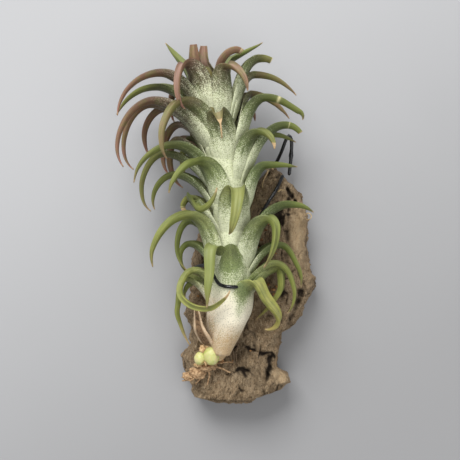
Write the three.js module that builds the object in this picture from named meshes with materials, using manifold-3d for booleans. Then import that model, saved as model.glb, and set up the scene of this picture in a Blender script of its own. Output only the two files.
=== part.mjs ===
// A long-stemmed air plant, wired to a slab of cork bark, lying on its back as it would on a bench.
// Millimetres. +X is to the right and +Y towards the crown when the plant is looked at from the front,
// and +Z stands away from the surface that the bark lies on. The dimensions below are measured from a
// point under the stem's middle, and MIDDLE moves the finished plant so that the origin is on the
// surface, under the middle of the whole object.

import * as THREE from "three";
import { mergeVertices } from "three/addons/utils/BufferGeometryUtils.js";
import Module from "manifold-3d";

const wasm = await Module();
wasm.setup();

const MIDDLE = [-0.9, 0.95, 0];
// Space left between two pieces that touch.
const GAP = 0.3;
// Edges shorter than this are merged away where pieces are fused or cut.
const SMALLEST_STEP = 0.03;

// Stem

// Heights up the plant are counted from the stem's foot, which lies this far below the origin.
const FOOT_Y = -64;
// The stem's centre line, sideways and above the surface, at every 15 mm of height.
const STEM_STEP = 15;
const STEM_X = [1.5, 6.5, 8.5, 8.5, 8.5, 7.5, 5.5, 2, -1, -4.5, -7.5];
const STEM_Z = [29, 34.5, 38, 39, 39, 39, 39.5, 40, 41, 42, 43];
// Radius of the packed stem and leaf bases that the leaves stand out of, at the same heights.
const STEM_RADIUS = [5.2, 10.5, 11, 9, 9, 9, 8.6, 8.2, 7.6, 5, 1];
const STEM_TOP = 141;
const STEM_SIDES = 8;
const STEM_RINGS = 12;

// Leaves

// Corners round one leaf section: two margins, two flanks, the keel outside and the channel inside.
const LEAF_SIDES = 6;
// Stations along a leaf: 0 is the foot, 1 the crest of its arch and 2 the tip.
const BASE_STATIONS = [0, 0.35, 0.65, 0.86, 1];
const FEWEST_ARM_STATIONS = 4;
const STATIONS_A_TURN = 3;
// Half of the leaf's width measured round its outside, its rolled radius, and its thickness at the keel.
const LEAF_HALF_WIDTH = [
  [0, 4.5], [0.35, 9.6], [0.65, 9.2], [0.86, 7.6], [1, 6], [1.22, 5], [1.5, 3.9], [1.75, 2.6], [2, 0.5],
];
const LEAF_RADIUS = [
  [0, 8.5], [0.35, 9.5], [0.65, 8], [0.86, 5.4], [1, 3.7], [1.22, 2.9], [1.5, 2.3], [1.75, 1.6], [2, 0.4],
];
const LEAF_THICKNESS = [[0, 1.4], [0.65, 1.6], [1, 2.1], [1.3, 2.1], [1.6, 1.8], [1.85, 1.3], [2, 0.5]];
// A leaf never rolls up further than this, in radians each side of its keel.
const LEAF_MOST_ROLL = 1.9;
// The thickness stays under this share of the rolled section's depth, and this much more.
const LEAF_FILL = 0.85;
const LEAF_LEAST_WALL = 0.3;
// A domed leaf's channel is filled, and stands out past its margins by this share of its depth.
const DOME = 0.85;
// A leaf that is thickened to cut a gap round it grows at its margins by this many times the gap.
const MARGIN_GROWTH = 1.5;
// Slack for stations that fall on the joint of two pieces of a leaf's midline.
const STATION_SLACK = 1e-9;
// A vertex of a unit cylinder this near to its axis is the middle of an end face.
const ON_AXIS = 0.5;
// A domed leaf is narrower at its foot by this share, and is at its full width from this station on.
const DOMED_FOOT = 0.2;
const DOMED_FULL = 0.3;
// Near the stem's foot the sheaths narrow to a neck: the largest radius at every 6 mm of height, from
// 6 mm below the foot up, and how sharply the sheaths turn into it.
const NECK_STEP = 6;
const NECK = [3.4, 5, 6.4, 8, 10, 12.2, 17, 26];
const NECK_TURN = 1.4;
// Distance from the stem's centre line to the foot of a leaf, and how far the leaf leans out from there.
const LEAF_FOOT_REACH = 4.5;
const LEAF_FLARE = 0.12;
// Lengths of the curve handles along a leaf: at its foot and below the crest of an upright leaf, as
// shares of the rise; below the crest of an arched one, as shares of its reach and rise; and past the
// crest, as a share of the stretch.
const FOOT_HANDLE = 0.45;
const UPRIGHT_HANDLE = 0.28;
const REACH_HANDLE = 0.35;
const RISE_HANDLE = 0.14;
const ARM_HANDLE = 0.38;

// Each leaf: its foot's height on the stem, its size against a full-grown leaf, and how much of its
// arm's taper is there, 1 for a whole arm and less for one that was cut short. Then the points that its
// margins pass: the crest of the arch, any turns, and the end. A point is sideways from the middle,
// height above the stem's foot, and distance in front of the stem's centre line.
const LEAVES = [
  // Crown
  [114, 0.7, 1, [-9, 146, -8], [-15, 138, -24]],
  [114, 1, 0.6, [-9.4, 143, 3], [-10.2, 151.8, 4]],
  [116, 0.9, 0.65, [-6.2, 144, -1.5], [-5.8, 152, -2]],
  [112, 0.75, 1, [-15, 144, -8], [-25.5, 155.5, -16]],
  [110, 0.85, 1, [-14, 143, 10], [-14.5, 119, 15]],
  [106, 0.95, 1, [-26, 139.5, 3], [-48, 116.5, 8]],
  [104, 0.9, 1, [-29, 134, -9], [-50.5, 119, -14]],
  [113, 1.1, 0.6, [-0.6, 138.5, 0], [2.2, 146, 0], [8.4, 150.8, -1], [14, 149.6, -2]],
  [114, 0.7, 1, [9, 148, -10], [24, 155.5, -14]],
  [108, 0.95, 0.4, [22, 147.5, -4], [28.5, 146, -5]],
  [105, 0.85, 1, [19.5, 139.5, -6], [41, 128, -8]],
  [106, 0.9, 1, [5.5, 142, 11], [16, 127.5, 17]],
  // Upper left
  [92, 1, 1, [-30, 125.5, 6], [-45, 91, 10]],
  [90, 0.9, 1, [-31.5, 124.5, -2], [-41, 90.5, -3]],
  [92, 0.9, 1, [-25, 123, -8], [-33.5, 98, -16]],
  [90, 1, 1, [-15, 124.5, 12], [-23, 94.5, 20]],
  [84, 0.9, 1, [-17.5, 115.5, -12], [-24, 88.5, -20]],
  [78, 0.8, 1, [-18, 108, -14], [-17, 82, -24]],
  [72, 1, 1, [-19.5, 104, 5], [-40, 83.5, 8]],
  [70, 0.85, 1, [-25, 100, -4], [-32.5, 69.5, -8]],
  [62, 0.85, 1, [-20, 89.5, -6], [-31, 70.5, -10]],
  [62, 1, 1, [-7.5, 95.5, 12], [-22, 78, 20]],
  [52, 0.8, 0.75, [-12.3, 77.5, -5], [-16.8, 73.5, -6], [-15, 69, -6]],
  [52, 0.8, 1, [-10.5, 76.5, 3], [-5.5, 71, 13], [1.2, 80.7, 17]],
  // Upper right
  [98, 0.9, 1, [17.5, 130, -9], [37.5, 116.5, -10]],
  [96, 0.75, 1, [12.5, 125, -12], [20.5, 116.5, -20]],
  [92, 1, 1, [24.5, 127.5, 4], [42.5, 119.5, 5], [43.5, 114.5, 5]],
  [78, 0.95, 1, [21, 110, 10], [29, 99.5, 16]],
  [76, 0.9, 0.55, [34.5, 114, 0], [43.5, 109, 0]],
  [74, 0.7, 1, [27.5, 109.5, -9], [41, 104.5, -11]],
  [60, 0.95, 1, [25.5, 94, 4], [41, 91.5, 3]],
  // Front
  [84, 1, 1.7, [1, 119, 14], [3.5, 104.5, 19]],
  [50, 1.05, 1, [10.5, 82, 15], [7, 58, 20]],
  // Lower left
  [12, 0.85, 1, [0.2, 52.2, 11], [-3.2, 38, 17], [-4, 21.8, 18]],
  [24, 1.15, 1, [-12, 69.5, 8], [-30.5, 42, 12]],
  [40, 0.85, 1, [-12, 66, -4], [-20, 53.5, -5], [-14, 39.5, -2]],
  [30, 0.8, 1, [-12.5, 54.5, -6], [-18.5, 47.5, -6], [-12.5, 37.5, -4]],
  [22, 0.75, 1, [-10, 41, 2], [-17, 35, 6], [-16.5, 26, 10], [-5, 21, 15], [3.5, 25, 17], [7.5, 30.5, 17]],
  [14, 0.8, 1, [-14, 37, -4], [-20, 21.5, -4], [-18.5, 12.5, -4], [-13, 1, -2]],
  [20, 0.85, 1, [-10, 35, -6], [-15, 26, -8]],
  // Lower right
  [44, 0.95, 1, [36, 74.5, -1], [49.5, 69, -2]],
  [30, 1.15, 1, [26, 67.5, 9], [31, 60, 12], [24, 41.5, 14]],
  [30, 0.85, 1, [32, 54, -4], [42, 43, -4], [43.5, 31, -4]],
  [20, 0.8, 1, [30, 44.5, 3], [40, 32, 3], [36, 18, 2]],
  [18, 1.05, 1, [31, 43, -2], [34.5, 33, -1], [30.5, 24, -3], [20.5, 14, -6]],
  [6, 1.15, 1, [19.5, 36, 9], [26.5, 26, 9], [32.5, 17, 6], [31, 11.5, 4], [25, 10, 2]],
];

// Two leaves on the front end in a blunt dome close above their sheaths.
const DOMED_LEAVES = [
  [14, 1.25, 1, [8.7, 49.8, 12.2], [8.8, 49.2, 13.9]],
  [-3, 1.3, 1, [14.6, 32.2, 12.2], [15, 31.4, 13.9]],
];
// The stem ends in a blunt point behind the buds: centre, and half of the width, height and depth.
const STEM_END = [[1.8, -65.5, 30], [4.4, 5, 4.2]];

// Behind the crown the leaves follow the plant's own spiral: one leaf, then the next a golden angle on.
const BACK_LEAVES = 9;
const BACK_FIRST_FOOT = 65.4;
const BACK_FOOT_STEP = 5.5;
const BACK_FIRST_BEARING = 152.6;
const BACK_BEARING_STEP = 17.6;
const BACK_SIZE = 0.85;
const BACK_RISE = 32;
const BACK_CREST_REACH = 18;
const BACK_TIP_REACH = 31;
const BACK_TIP_DROP = 20;

// The crown's bronze leaves stand on the top of the stem, from this height up.
const CROWN_FOOT = 103;

// A dry leaf hugs the stem beside its foot.
const DRY_LEAF = [-1, 0.5, 1, [-8, 13, 5], [-9.6, 21.5, 5]];

// Cork bark

// Rows across the slab seen from the front: height against the middle, left edge and right edge.
const BARK_ROWS = [
  [-94, 0, 19], [-91, -11, 22], [-87, -12.5, 34], [-83, -13.5, 38.5], [-79, -15, 38.5], [-75, -16.5, 31.5],
  [-70, -18, 32.5], [-64, -13.5, 33.5], [-57, -13, 34.5], [-53, -14, 42], [-48, -17, 46], [-43, -15.5, 47],
  [-38, -13, 49.5], [-34, -12.7, 52], [-30, -12.5, 52.5], [-23, -12.5, 49], [-14, -11, 48], [-6, -8.7, 48],
  [2, -5, 48], [9, 2, 46.5], [14, 12.5, 44.5], [19, 21, 41], [22, 23, 37.5], [26, 25.5, 34], [28, 28, 32],
];
const BARK_COLUMNS = 9;
const BARK_THICKNESS = 25;
// Up the slab's side: the share of the thickness, and how far the side stands in from the outline.
const BARK_SIDE = [[0, 5], [0.3, 0.8], [0.74, 0], [1, 2.4]];
// The inset is less in narrow rows and at the slab's two ends.
const BARK_MOST_INSET = 0.2;
const BARK_END_INSET = 1.4;
const BARK_RIM = 0.86;
// A place this near to an edge of the unit block is on it.
const ON_EDGE = 0.01;
// Height of the ridges and pits, and how fast each wave runs, in radians a millimetre: across the slab
// and along it, with the sideways sway of each set of ridges, then the pits with where they start.
const BARK_RIDGE = 1.3;
const RIDGES_ACROSS = 0.42;
const SWAY_ACROSS = [0.9, 0.13];
const RIDGES_ALONG = 0.19;
const SWAY_ALONG = [0.6, 0.3];
const BARK_PIT = 0.8;
const PITS_ACROSS = [0.83, 1.7];
const PITS_ALONG = [0.61, 0.4];
const BARK_ARCH = 5;
const BARK_MIDDLE_X = 16;
const BARK_HALF_WIDTH = 34;
// Deep cracks in the slab's front: both ends, depth and width.
const BARK_CRACKS = [
  [[28, -70.5], [24.5, -92], 5, 2.6],
  [[37.3, 17], [40.8, 11], 5, 2],
  [[32.3, 8], [33, 1], 6, 2.6],
  [[38, 12], [36, -22], 3, 2.4],
  [[16, -64], [27, -69], 3, 2],
  [[13.5, -79], [8.5, -62], 3, 2.6],
  [[44, -36], [38, -52], 3.5, 2.4],
];

// Wire

const WIRE_RADIUS = 0.85;
const WIRE_SIDES = 5;
const WIRE_STATIONS = 72;
// The wire's path: the hook, behind the slab, round its left edge, over the stem, and up the front.
const WIRE_PATH = [
  [38.6, 25.5, 10], [39.6, 36, 11], [39.5, 43.6, 12], [38.3, 45.4, 12], [37, 43.6, 11.5],
  [34.5, 37, 9], [31.5, 30.5, 4.5], [27.5, 22, 2.2], [15, 3, 2.2], [0, -17, 2.2], [-11, -31, 2.6],
  [-14.8, -31, 8], [-15, -28, 18], [-13, -25, 25], [-8.5, -22.5, 29], [-4.2, -22, 34],
  [-1.5, -24.5, 41], [2.4, -30.8, 47.6], [8, -32, 50.2], [14, -31.5, 46.5], [19, -29, 39], [20, -26, 32],
  [18.5, -19, 27], [19.5, -6, 26.5], [24.5, 6, 27.5], [31, 16.5, 27], [34.5, 23.6, 22],
];

// The stretch of the path behind the slab, from one point of it to another, lies in an open groove.
const GROOVE_FROM = 6;
const GROOVE_TO = 11;
const GROOVE_RADIUS = 1.7;
const GROOVE_STATIONS = 16;
// How far the groove's middle lies below the wire's.
const GROOVE_DROP = 1.7;

// Basal buds

const LUMP_DETAIL = 1;
// Two pale buds below the stem's foot: centre, and half of the width, height and depth.
const BUDS = [
  [[-7.6, -69.2, 31], [3.1, 3.4, 2.9]],
  [[-1.9, -67.6, 32.3], [4.1, 5, 3.9]],
];

// Roots

const ROOT_RADIUS = 0.65;
const ROOT_SIDES = 4;
const ROOT_STATIONS = 4;
const ROOTS = [
  [[-7, -75, 27.8], [-11, -80, 27], [-17, -81.5, 25]],
  [[-6, -74, 27.4], [-7, -79, 27], [-10, -83, 25.5]],
  [[-4.5, -73, 27.1], [-3, -78, 27], [-4, -83.5, 25.5]],
  [[-3, -72.5, 27.6], [3, -74.6, 27.2], [7.5, -77, 25.7]],
  [[-2.5, -72, 28.1], [4, -71.6, 27.9], [9, -71.5, 26.8]],
];
// The brown crust that the roots come out of: centres and half sizes of its lumps.
const ROOT_LUMPS = [
  [[-4, -73, 28], [4.5, 3, 2.4]],
  [[-9, -77, 27], [4, 3, 2.2]],
  [[-14, -79, 25.5], [3, 2, 1.8]],
];

// The value between the rows of [station, value] pairs that station falls between.
function valueAt(rows, station) {
  const last = rows.length - 1;
  let i = 0;
  while (i < last - 1 && station > rows[i + 1][0]) i++;
  const [x0, y0] = rows[i];
  const [x1, y1] = rows[i + 1];
  const share = THREE.MathUtils.clamp((station - x0) / (x1 - x0), 0, 1);
  return y0 + (y1 - y0) * share;
}

// A smooth value between evenly spaced ones, by a Catmull-Rom curve.
function smoothAt(values, place) {
  const last = values.length - 1;
  const p = THREE.MathUtils.clamp(place, 0, last);
  const i = Math.min(Math.floor(p), last - 1);
  const t = p - i;
  const [a, b, c, d] = [i - 1, i, i + 1, i + 2].map((k) => values[THREE.MathUtils.clamp(k, 0, last)]);
  return b + 0.5 * t * (c - a + t * (2 * a - 5 * b + 4 * c - d + t * (3 * (b - c) + d - a)));
}

// The smaller of two lengths, with the corner between them rounded.
function softLeast(a, b) {
  return -Math.log(Math.exp(-NECK_TURN * a) + Math.exp(-NECK_TURN * b)) / NECK_TURN;
}

// The stem's centre line at a height above its foot.
function stemPoint(height) {
  const place = height / STEM_STEP;
  return new THREE.Vector3(smoothAt(STEM_X, place), FOOT_Y + height, smoothAt(STEM_Z, place));
}

// A point of the leaf list, in the part's frame.
function leafPoint([side, height, front]) {
  return new THREE.Vector3(side, FOOT_Y + height, stemPoint(height).z + front);
}

// The midline of a leaf as Bezier pieces, each with the station where it starts and ends.
function leafPieces(foot, points) {
  const up = new THREE.Vector3(0, 1, 0);
  const marks = points.map(leafPoint);
  const crest = marks[0];
  const outward = crest.clone().sub(stemPoint(points[0][1])).setY(0).normalize();
  const start = stemPoint(foot).addScaledVector(outward, LEAF_FOOT_REACH);
  const rise = crest.y - start.y;
  const lateral = Math.hypot(crest.x - start.x, crest.z - start.z);
  const away = up.clone().addScaledVector(outward, LEAF_FLARE).normalize();
  const upright = marks[marks.length - 1].y > crest.y;
  const over = upright ? marks[1].clone().sub(crest).normalize() : outward.clone();
  const back = upright ? UPRIGHT_HANDLE * rise : REACH_HANDLE * lateral + RISE_HANDLE * rise;
  const pieces = [
    {
      from: 0,
      to: 1,
      curve: new THREE.CubicBezierCurve3(
        start,
        start.clone().addScaledVector(away, FOOT_HANDLE * rise),
        crest.clone().addScaledVector(over, -back),
        crest,
      ),
    },
  ];
  // From the crest on, each mark's direction follows its neighbours, and the last piece ends as an arc.
  let direction = over;
  for (let i = 1; i < marks.length; i++) {
    const chord = marks[i].clone().sub(marks[i - 1]);
    const length = chord.length();
    chord.normalize();
    const next =
      i < marks.length - 1
        ? marks[i + 1].clone().sub(marks[i - 1]).normalize()
        : chord.clone().multiplyScalar(2 * direction.dot(chord)).sub(direction);
    pieces.push({
      from: 1 + (i - 1) / (marks.length - 1),
      to: 1 + i / (marks.length - 1),
      curve: new THREE.CubicBezierCurve3(
        marks[i - 1],
        marks[i - 1].clone().addScaledVector(direction, ARM_HANDLE * length),
        marks[i].clone().addScaledVector(next, -ARM_HANDLE * length),
        marks[i],
      ),
    });
    direction = next;
  }
  return { pieces, outward };
}

// The leaf's midline at a station, and its direction there.
function onLeaf(pieces, station) {
  const piece = pieces.find((p) => station <= p.to + STATION_SLACK);
  const t = (station - piece.from) / (piece.to - piece.from);
  return { point: piece.curve.getPoint(t), along: piece.curve.getTangent(t) };
}

// The corners of a leaf at one station, and their middle: the margins lie on the midline, and the keel
// hangs below them on the side that faces away from the stem. The leaf is thicker by grow all round.
function leafSection(place, across, station, size, taper, grow, domed) {
  const row = station > 1 ? 1 + (station - 1) * taper : station;
  const narrowing = domed ? DOMED_FOOT * Math.max(0, 1 - station / DOMED_FULL) : 0;
  const full = size * (1 - narrowing) * valueAt(LEAF_RADIUS, row);
  const neck = smoothAt(NECK, (place.point.y - FOOT_Y) / NECK_STEP + 1);
  const radius = station > 1 ? full : softLeast(full, neck);
  const roll = Math.min((size * valueAt(LEAF_HALF_WIDTH, row)) / radius, LEAF_MOST_ROLL);
  const depth = radius * (1 - Math.cos(roll));
  const wall = Math.min(size * valueAt(LEAF_THICKNESS, row), LEAF_FILL * depth + LEAF_LEAST_WALL);
  const thickness = domed ? (1 + DOME) * depth : wall;
  const inward = new THREE.Vector3().crossVectors(place.along, across);
  const end = grow * (station === 0 ? -1 : station === 2 ? 1 : 0);
  const at = (sideways, below) =>
    place.point
      .clone()
      .addScaledVector(across, sideways)
      .addScaledVector(inward, -below)
      .addScaledVector(place.along, end);
  const wide = roll + (MARGIN_GROWTH * grow) / radius;
  const outer = (share) =>
    at(
      (radius + grow) * Math.sin(share * wide),
      (radius + grow) * Math.cos(share * wide) - radius * Math.cos(roll),
    );
  const corners = [
    outer(1),
    outer(0.5),
    outer(0),
    outer(-0.5),
    outer(-1),
    at(0, depth - thickness - grow),
  ];
  return { corners, middle: at(0, depth - thickness / 2) };
}

// A closed geometry made from a cylinder's faces, with its rings moved to the given sections.
function loft(sides, sections) {
  const geometry = new THREE.CylinderGeometry(1, 1, 1, sides, sections.length - 1);
  const position = geometry.getAttribute("position");
  for (let i = 0; i < position.count; i++) {
    const ring = sections[Math.round((0.5 - position.getY(i)) * (sections.length - 1))];
    const turn = Math.atan2(position.getX(i), position.getZ(i)) / (2 * Math.PI);
    const onAxis = Math.hypot(position.getX(i), position.getZ(i)) < ON_AXIS;
    const corner = ((Math.round(turn * sides) % sides) + sides) % sides;
    const to = onAxis ? ring.middle : ring.corners[corner];
    position.setXYZ(i, to.x, to.y, to.z);
  }
  return geometry;
}

function leafGeometry([foot, size, taper, ...points], grow = 0, domed = false) {
  const { pieces, outward } = leafPieces(foot, points);
  const armStations = Math.max(FEWEST_ARM_STATIONS, STATIONS_A_TURN * (points.length - 1));
  const stations = [...BASE_STATIONS];
  for (let i = 1; i <= armStations; i++) stations.push(1 + i / armStations);
  let across = new THREE.Vector3().crossVectors(new THREE.Vector3(0, 1, 0), outward);
  const sections = stations.map((station) => {
    const place = onLeaf(pieces, station);
    across = across.clone().addScaledVector(place.along, -across.dot(place.along)).normalize();
    return leafSection(place, across, station, size, taper, grow, domed);
  });
  return loft(LEAF_SIDES, sections);
}

// The stem between two heights.
function stemGeometry(from, to, grow = 0) {
  const sections = [];
  const rings = Math.round((STEM_RINGS * (to - from)) / STEM_TOP);
  for (let ring = 0; ring <= rings; ring++) {
    const end = grow * (ring === 0 ? -1 : ring === rings ? 1 : 0);
    const height = from + ((to - from) * ring) / rings + end;
    const middle = stemPoint(height);
    const radius = smoothAt(STEM_RADIUS, height / STEM_STEP) + grow;
    const corners = [];
    for (let side = 0; side < STEM_SIDES; side++) {
      const turn = (2 * Math.PI * side) / STEM_SIDES;
      const offset = new THREE.Vector3(Math.cos(turn), 0, Math.sin(turn));
      corners.push(middle.clone().addScaledVector(offset, radius));
    }
    sections.push({ corners, middle });
  }
  return loft(STEM_SIDES, sections);
}

// Leaves that the spiral puts behind the upper stem, arching away from the viewer and down.
function backLeaves() {
  const made = [];
  for (let i = 0; i < BACK_LEAVES; i++) {
    const foot = BACK_FIRST_FOOT + BACK_FOOT_STEP * i;
    const bearing = THREE.MathUtils.degToRad(BACK_FIRST_BEARING + BACK_BEARING_STEP * ((i * 2) % 5));
    const point = (reach, height) => {
      const side = stemPoint(height).x + reach * Math.sin(bearing);
      return [side, height, reach * Math.cos(bearing)];
    };
    const crest = foot + BACK_RISE;
    const tip = crest - BACK_TIP_DROP;
    made.push([foot, BACK_SIZE, 1, point(BACK_CREST_REACH, crest), point(BACK_TIP_REACH, tip)]);
  }
  return made;
}

// A round rod along a smooth line through the points.
function rodGeometry(points, radius, sides, stations) {
  const curve = new THREE.CatmullRomCurve3(points.map((p) => new THREE.Vector3(...p)), false, "centripetal");
  const frames = curve.computeFrenetFrames(stations, false);
  const sections = [];
  for (let i = 0; i <= stations; i++) {
    const middle = curve.getPointAt(i / stations);
    const corners = [];
    for (let side = 0; side < sides; side++) {
      const turn = (-2 * Math.PI * side) / sides;
      corners.push(
        middle
          .clone()
          .addScaledVector(frames.normals[i], radius * Math.cos(turn))
          .addScaledVector(frames.binormals[i], radius * Math.sin(turn)),
      );
    }
    sections.push({ corners, middle });
  }
  return loft(sides, sections);
}

function lumpGeometry([centre, half], grow = 0) {
  const geometry = new THREE.IcosahedronGeometry(1, LUMP_DETAIL);
  geometry.scale(half[0] + grow, half[1] + grow, half[2] + grow);
  geometry.translate(...centre);
  return geometry;
}

// How deep a crack is at a place.
function crackDepth(x, y, [from, to, depth, width]) {
  const line = [to[0] - from[0], to[1] - from[1]];
  const share = ((x - from[0]) * line[0] + (y - from[1]) * line[1]) / (line[0] ** 2 + line[1] ** 2);
  const t = THREE.MathUtils.clamp(share, 0, 1);
  const away = Math.hypot(x - from[0] - t * line[0], y - from[1] - t * line[1]);
  return depth * Math.exp(-((away / width) ** 2));
}

// Height of the slab's rough front at a place: an arch from side to side, with ridges and cracks.
function barkHeight(x, y) {
  const arch = BARK_ARCH * ((x - BARK_MIDDLE_X) / BARK_HALF_WIDTH) ** 2;
  const across = Math.sin(RIDGES_ACROSS * x + SWAY_ACROSS[0] * Math.sin(SWAY_ACROSS[1] * y));
  const along = Math.cos(RIDGES_ALONG * y + SWAY_ALONG[0] * Math.sin(SWAY_ALONG[1] * x));
  const ridges = across * along;
  const pits = Math.sin(PITS_ACROSS[0] * x + PITS_ACROSS[1]) * Math.sin(PITS_ALONG[0] * y + PITS_ALONG[1]);
  const cracks = BARK_CRACKS.map((crack) => crackDepth(x, y, crack));
  return BARK_THICKNESS - arch + BARK_RIDGE * ridges + BARK_PIT * pits - Math.max(...cracks);
}

function barkGeometry() {
  const rows = BARK_ROWS.length - 1;
  const levels = BARK_SIDE.length - 1;
  const geometry = new THREE.BoxGeometry(1, 1, 1, BARK_COLUMNS, rows, levels);
  const position = geometry.getAttribute("position");
  for (let i = 0; i < position.count; i++) {
    const [u, v, w] = [position.getX(i) + 0.5, position.getY(i) + 0.5, position.getZ(i) + 0.5];
    const [rowY, left, right] = BARK_ROWS[Math.round(v * rows)];
    const [share, inset] = BARK_SIDE[Math.round(w * levels)];
    const sideInset = Math.min(inset, BARK_MOST_INSET * (right - left));
    const endInset = Math.min(inset, BARK_END_INSET);
    const x = left + sideInset + (right - left - 2 * sideInset) * u;
    const y = rowY + endInset * (v < ON_EDGE ? 1 : 1 - v < ON_EDGE ? -1 : 0);
    const onRim = Math.min(u, 1 - u, v, 1 - v) < ON_EDGE;
    const rim = onRim && 1 - w < ON_EDGE ? BARK_RIM : 1;
    position.setXYZ(i, x, y, share * rim * barkHeight(x, y));
  }
  return geometry;
}

// Solids

function solidOf(geometry) {
  const bare = geometry.clone();
  bare.deleteAttribute("normal");
  bare.deleteAttribute("uv");
  const merged = mergeVertices(bare, 1e-4);
  const index = merged.index.array;
  return new wasm.Manifold(
    new wasm.Mesh({
      numProp: 3,
      vertProperties: new Float32Array(merged.getAttribute("position").array),
      triVerts: new Uint32Array(index),
    }),
  );
}

function fused(geometries) {
  return geometries.map(solidOf).reduce((a, b) => a.add(b));
}

// The largest body of a solid: scraps are dropped, and sealed hollows close up.
function mainBody(solid) {
  return solid.decompose().reduce((a, b) => (b.volume() > a.volume() ? b : a));
}

const plant = new THREE.Group();

function addPart(name, solid, color, roughness) {
  const body = mainBody(solid.simplify(SMALLEST_STEP)).getMesh();
  const geometry = new THREE.BufferGeometry();
  geometry.setAttribute("position", new THREE.BufferAttribute(new Float32Array(body.vertProperties), 3));
  geometry.setIndex(new THREE.BufferAttribute(new Uint32Array(body.triVerts), 1));
  geometry.translate(...MIDDLE);
  geometry.computeVertexNormals();
  const mesh = new THREE.Mesh(geometry, new THREE.MeshStandardMaterial({ color, roughness, metalness: 0 }));
  mesh.name = name;
  plant.add(mesh);
}

const isCrown = (leaf) => leaf[0] > CROWN_FOOT;
const allLeaves = [...LEAVES, ...backLeaves()];
const lowerLeaves = allLeaves.filter((leaf) => !isCrown(leaf));
const crownLeaves = allLeaves.filter(isCrown);

const leafyStem = (grow) =>
  fused([
    stemGeometry(0, CROWN_FOOT, grow),
    lumpGeometry(STEM_END, grow),
    ...lowerLeaves.map((leaf) => leafGeometry(leaf, grow)),
    ...DOMED_LEAVES.map((leaf) => leafGeometry(leaf, grow, true)),
  ]);
const crown = (grow) =>
  fused([stemGeometry(CROWN_FOOT, STEM_TOP, grow), ...crownLeaves.map((leaf) => leafGeometry(leaf, grow))]);
const wire = (grow) => solidOf(rodGeometry(WIRE_PATH, WIRE_RADIUS + grow, WIRE_SIDES, WIRE_STATIONS));
const groove = () => {
  const path = WIRE_PATH.slice(GROOVE_FROM, GROOVE_TO + 1).map(([x, y, z]) => [x, y, z - GROOVE_DROP]);
  return solidOf(rodGeometry(path, GROOVE_RADIUS, WIRE_SIDES, GROOVE_STATIONS));
};
const buds = (grow) => fused(BUDS.map((bud) => lumpGeometry(bud, grow)));
const roots = (grow) =>
  fused([
    ...ROOTS.map((root) => rodGeometry(root, ROOT_RADIUS + grow, ROOT_SIDES, ROOT_STATIONS)),
    ...ROOT_LUMPS.map((lump) => lumpGeometry(lump, grow)),
  ]);

// A solid with room cut out of it for its neighbours.
const room = (neighbour) => neighbour(GAP).add(neighbour(0));
const clearOf = (solid, neighbours) => neighbours.reduce((rest, other) => rest.subtract(room(other)), solid);

addPart("leafy_stem", clearOf(leafyStem(0), [wire, buds]), 0xa9b78a, 0.8);
addPart("crown_leaves", clearOf(crown(0), [leafyStem, wire]), 0x8b7a5c, 0.8);
addPart("dry_leaf", clearOf(solidOf(leafGeometry(DRY_LEAF)), [leafyStem, buds]), 0xb08d5f, 0.9);
addPart("basal_buds", buds(0), 0xc9cf86, 0.6);
addPart("root_tuft", clearOf(roots(0), [buds]), 0x8a6a45, 0.95);
const slab = solidOf(barkGeometry()).subtract(groove());
addPart("cork_bark", clearOf(slab, [wire, leafyStem, roots, buds]), 0x7a6a58, 0.95);
addPart("wire_tie", wire(0), 0x111111, 0.35);

export default plant;
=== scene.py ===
"""A long-stemmed air plant, wired to a slab of cork bark and lying on its back: its finished look.

The plan is in millimetres, with +X to the right, +Y towards the crown and +Z up off the surface that the
bark lies on. It is measured from a point under the stem's middle, and MIDDLE moves it to the model's own
origin, as the solids have it.
"""

import math

import bpy
import numpy as np
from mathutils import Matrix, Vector, noise


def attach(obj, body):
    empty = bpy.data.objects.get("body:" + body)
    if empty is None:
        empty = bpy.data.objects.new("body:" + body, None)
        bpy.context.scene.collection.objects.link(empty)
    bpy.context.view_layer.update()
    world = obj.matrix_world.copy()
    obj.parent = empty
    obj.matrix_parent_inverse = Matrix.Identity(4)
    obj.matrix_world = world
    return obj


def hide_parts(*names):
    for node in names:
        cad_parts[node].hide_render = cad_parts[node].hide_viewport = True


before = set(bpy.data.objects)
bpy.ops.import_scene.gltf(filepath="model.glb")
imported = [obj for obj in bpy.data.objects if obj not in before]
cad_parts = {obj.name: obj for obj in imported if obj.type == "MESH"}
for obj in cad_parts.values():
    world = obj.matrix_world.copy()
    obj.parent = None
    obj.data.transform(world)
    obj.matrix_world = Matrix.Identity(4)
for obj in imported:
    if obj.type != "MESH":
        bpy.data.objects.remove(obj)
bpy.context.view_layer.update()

MM = 0.001
MIDDLE = (-0.9, 0.95, 0.0)

# Camera: straight above the plant, which is the way the plant is seen when the bark is held upright.
CAMERA_AT = (6.6, -3.05, 640)
CAMERA_LENS = 93.9
SKY_COLOR = (0.95, 0.97, 1.0)
SKY_STRENGTH = 0.52

# Stem: sideways place, height above the surface and radius at every 15 mm from the foot up.
FOOT_Y = -64
STEM_STEP = 15
STEM_X = [1.5, 6.5, 8.5, 8.5, 8.5, 7.5, 5.5, 2, -1, -4.5, -7.5]
STEM_Z = [29, 34.5, 38, 39, 39, 39, 39.5, 40, 41, 42, 43]
STEM_RADIUS = [5.2, 10.5, 11, 9, 9, 9, 8.6, 8.2, 7.6, 5, 1]
STEM_TOP = 141
STEM_SIDES = 24
STEM_RINGS = 40
STEM_UNEVEN = 0.06
CROWN_FOOT = 103

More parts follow.
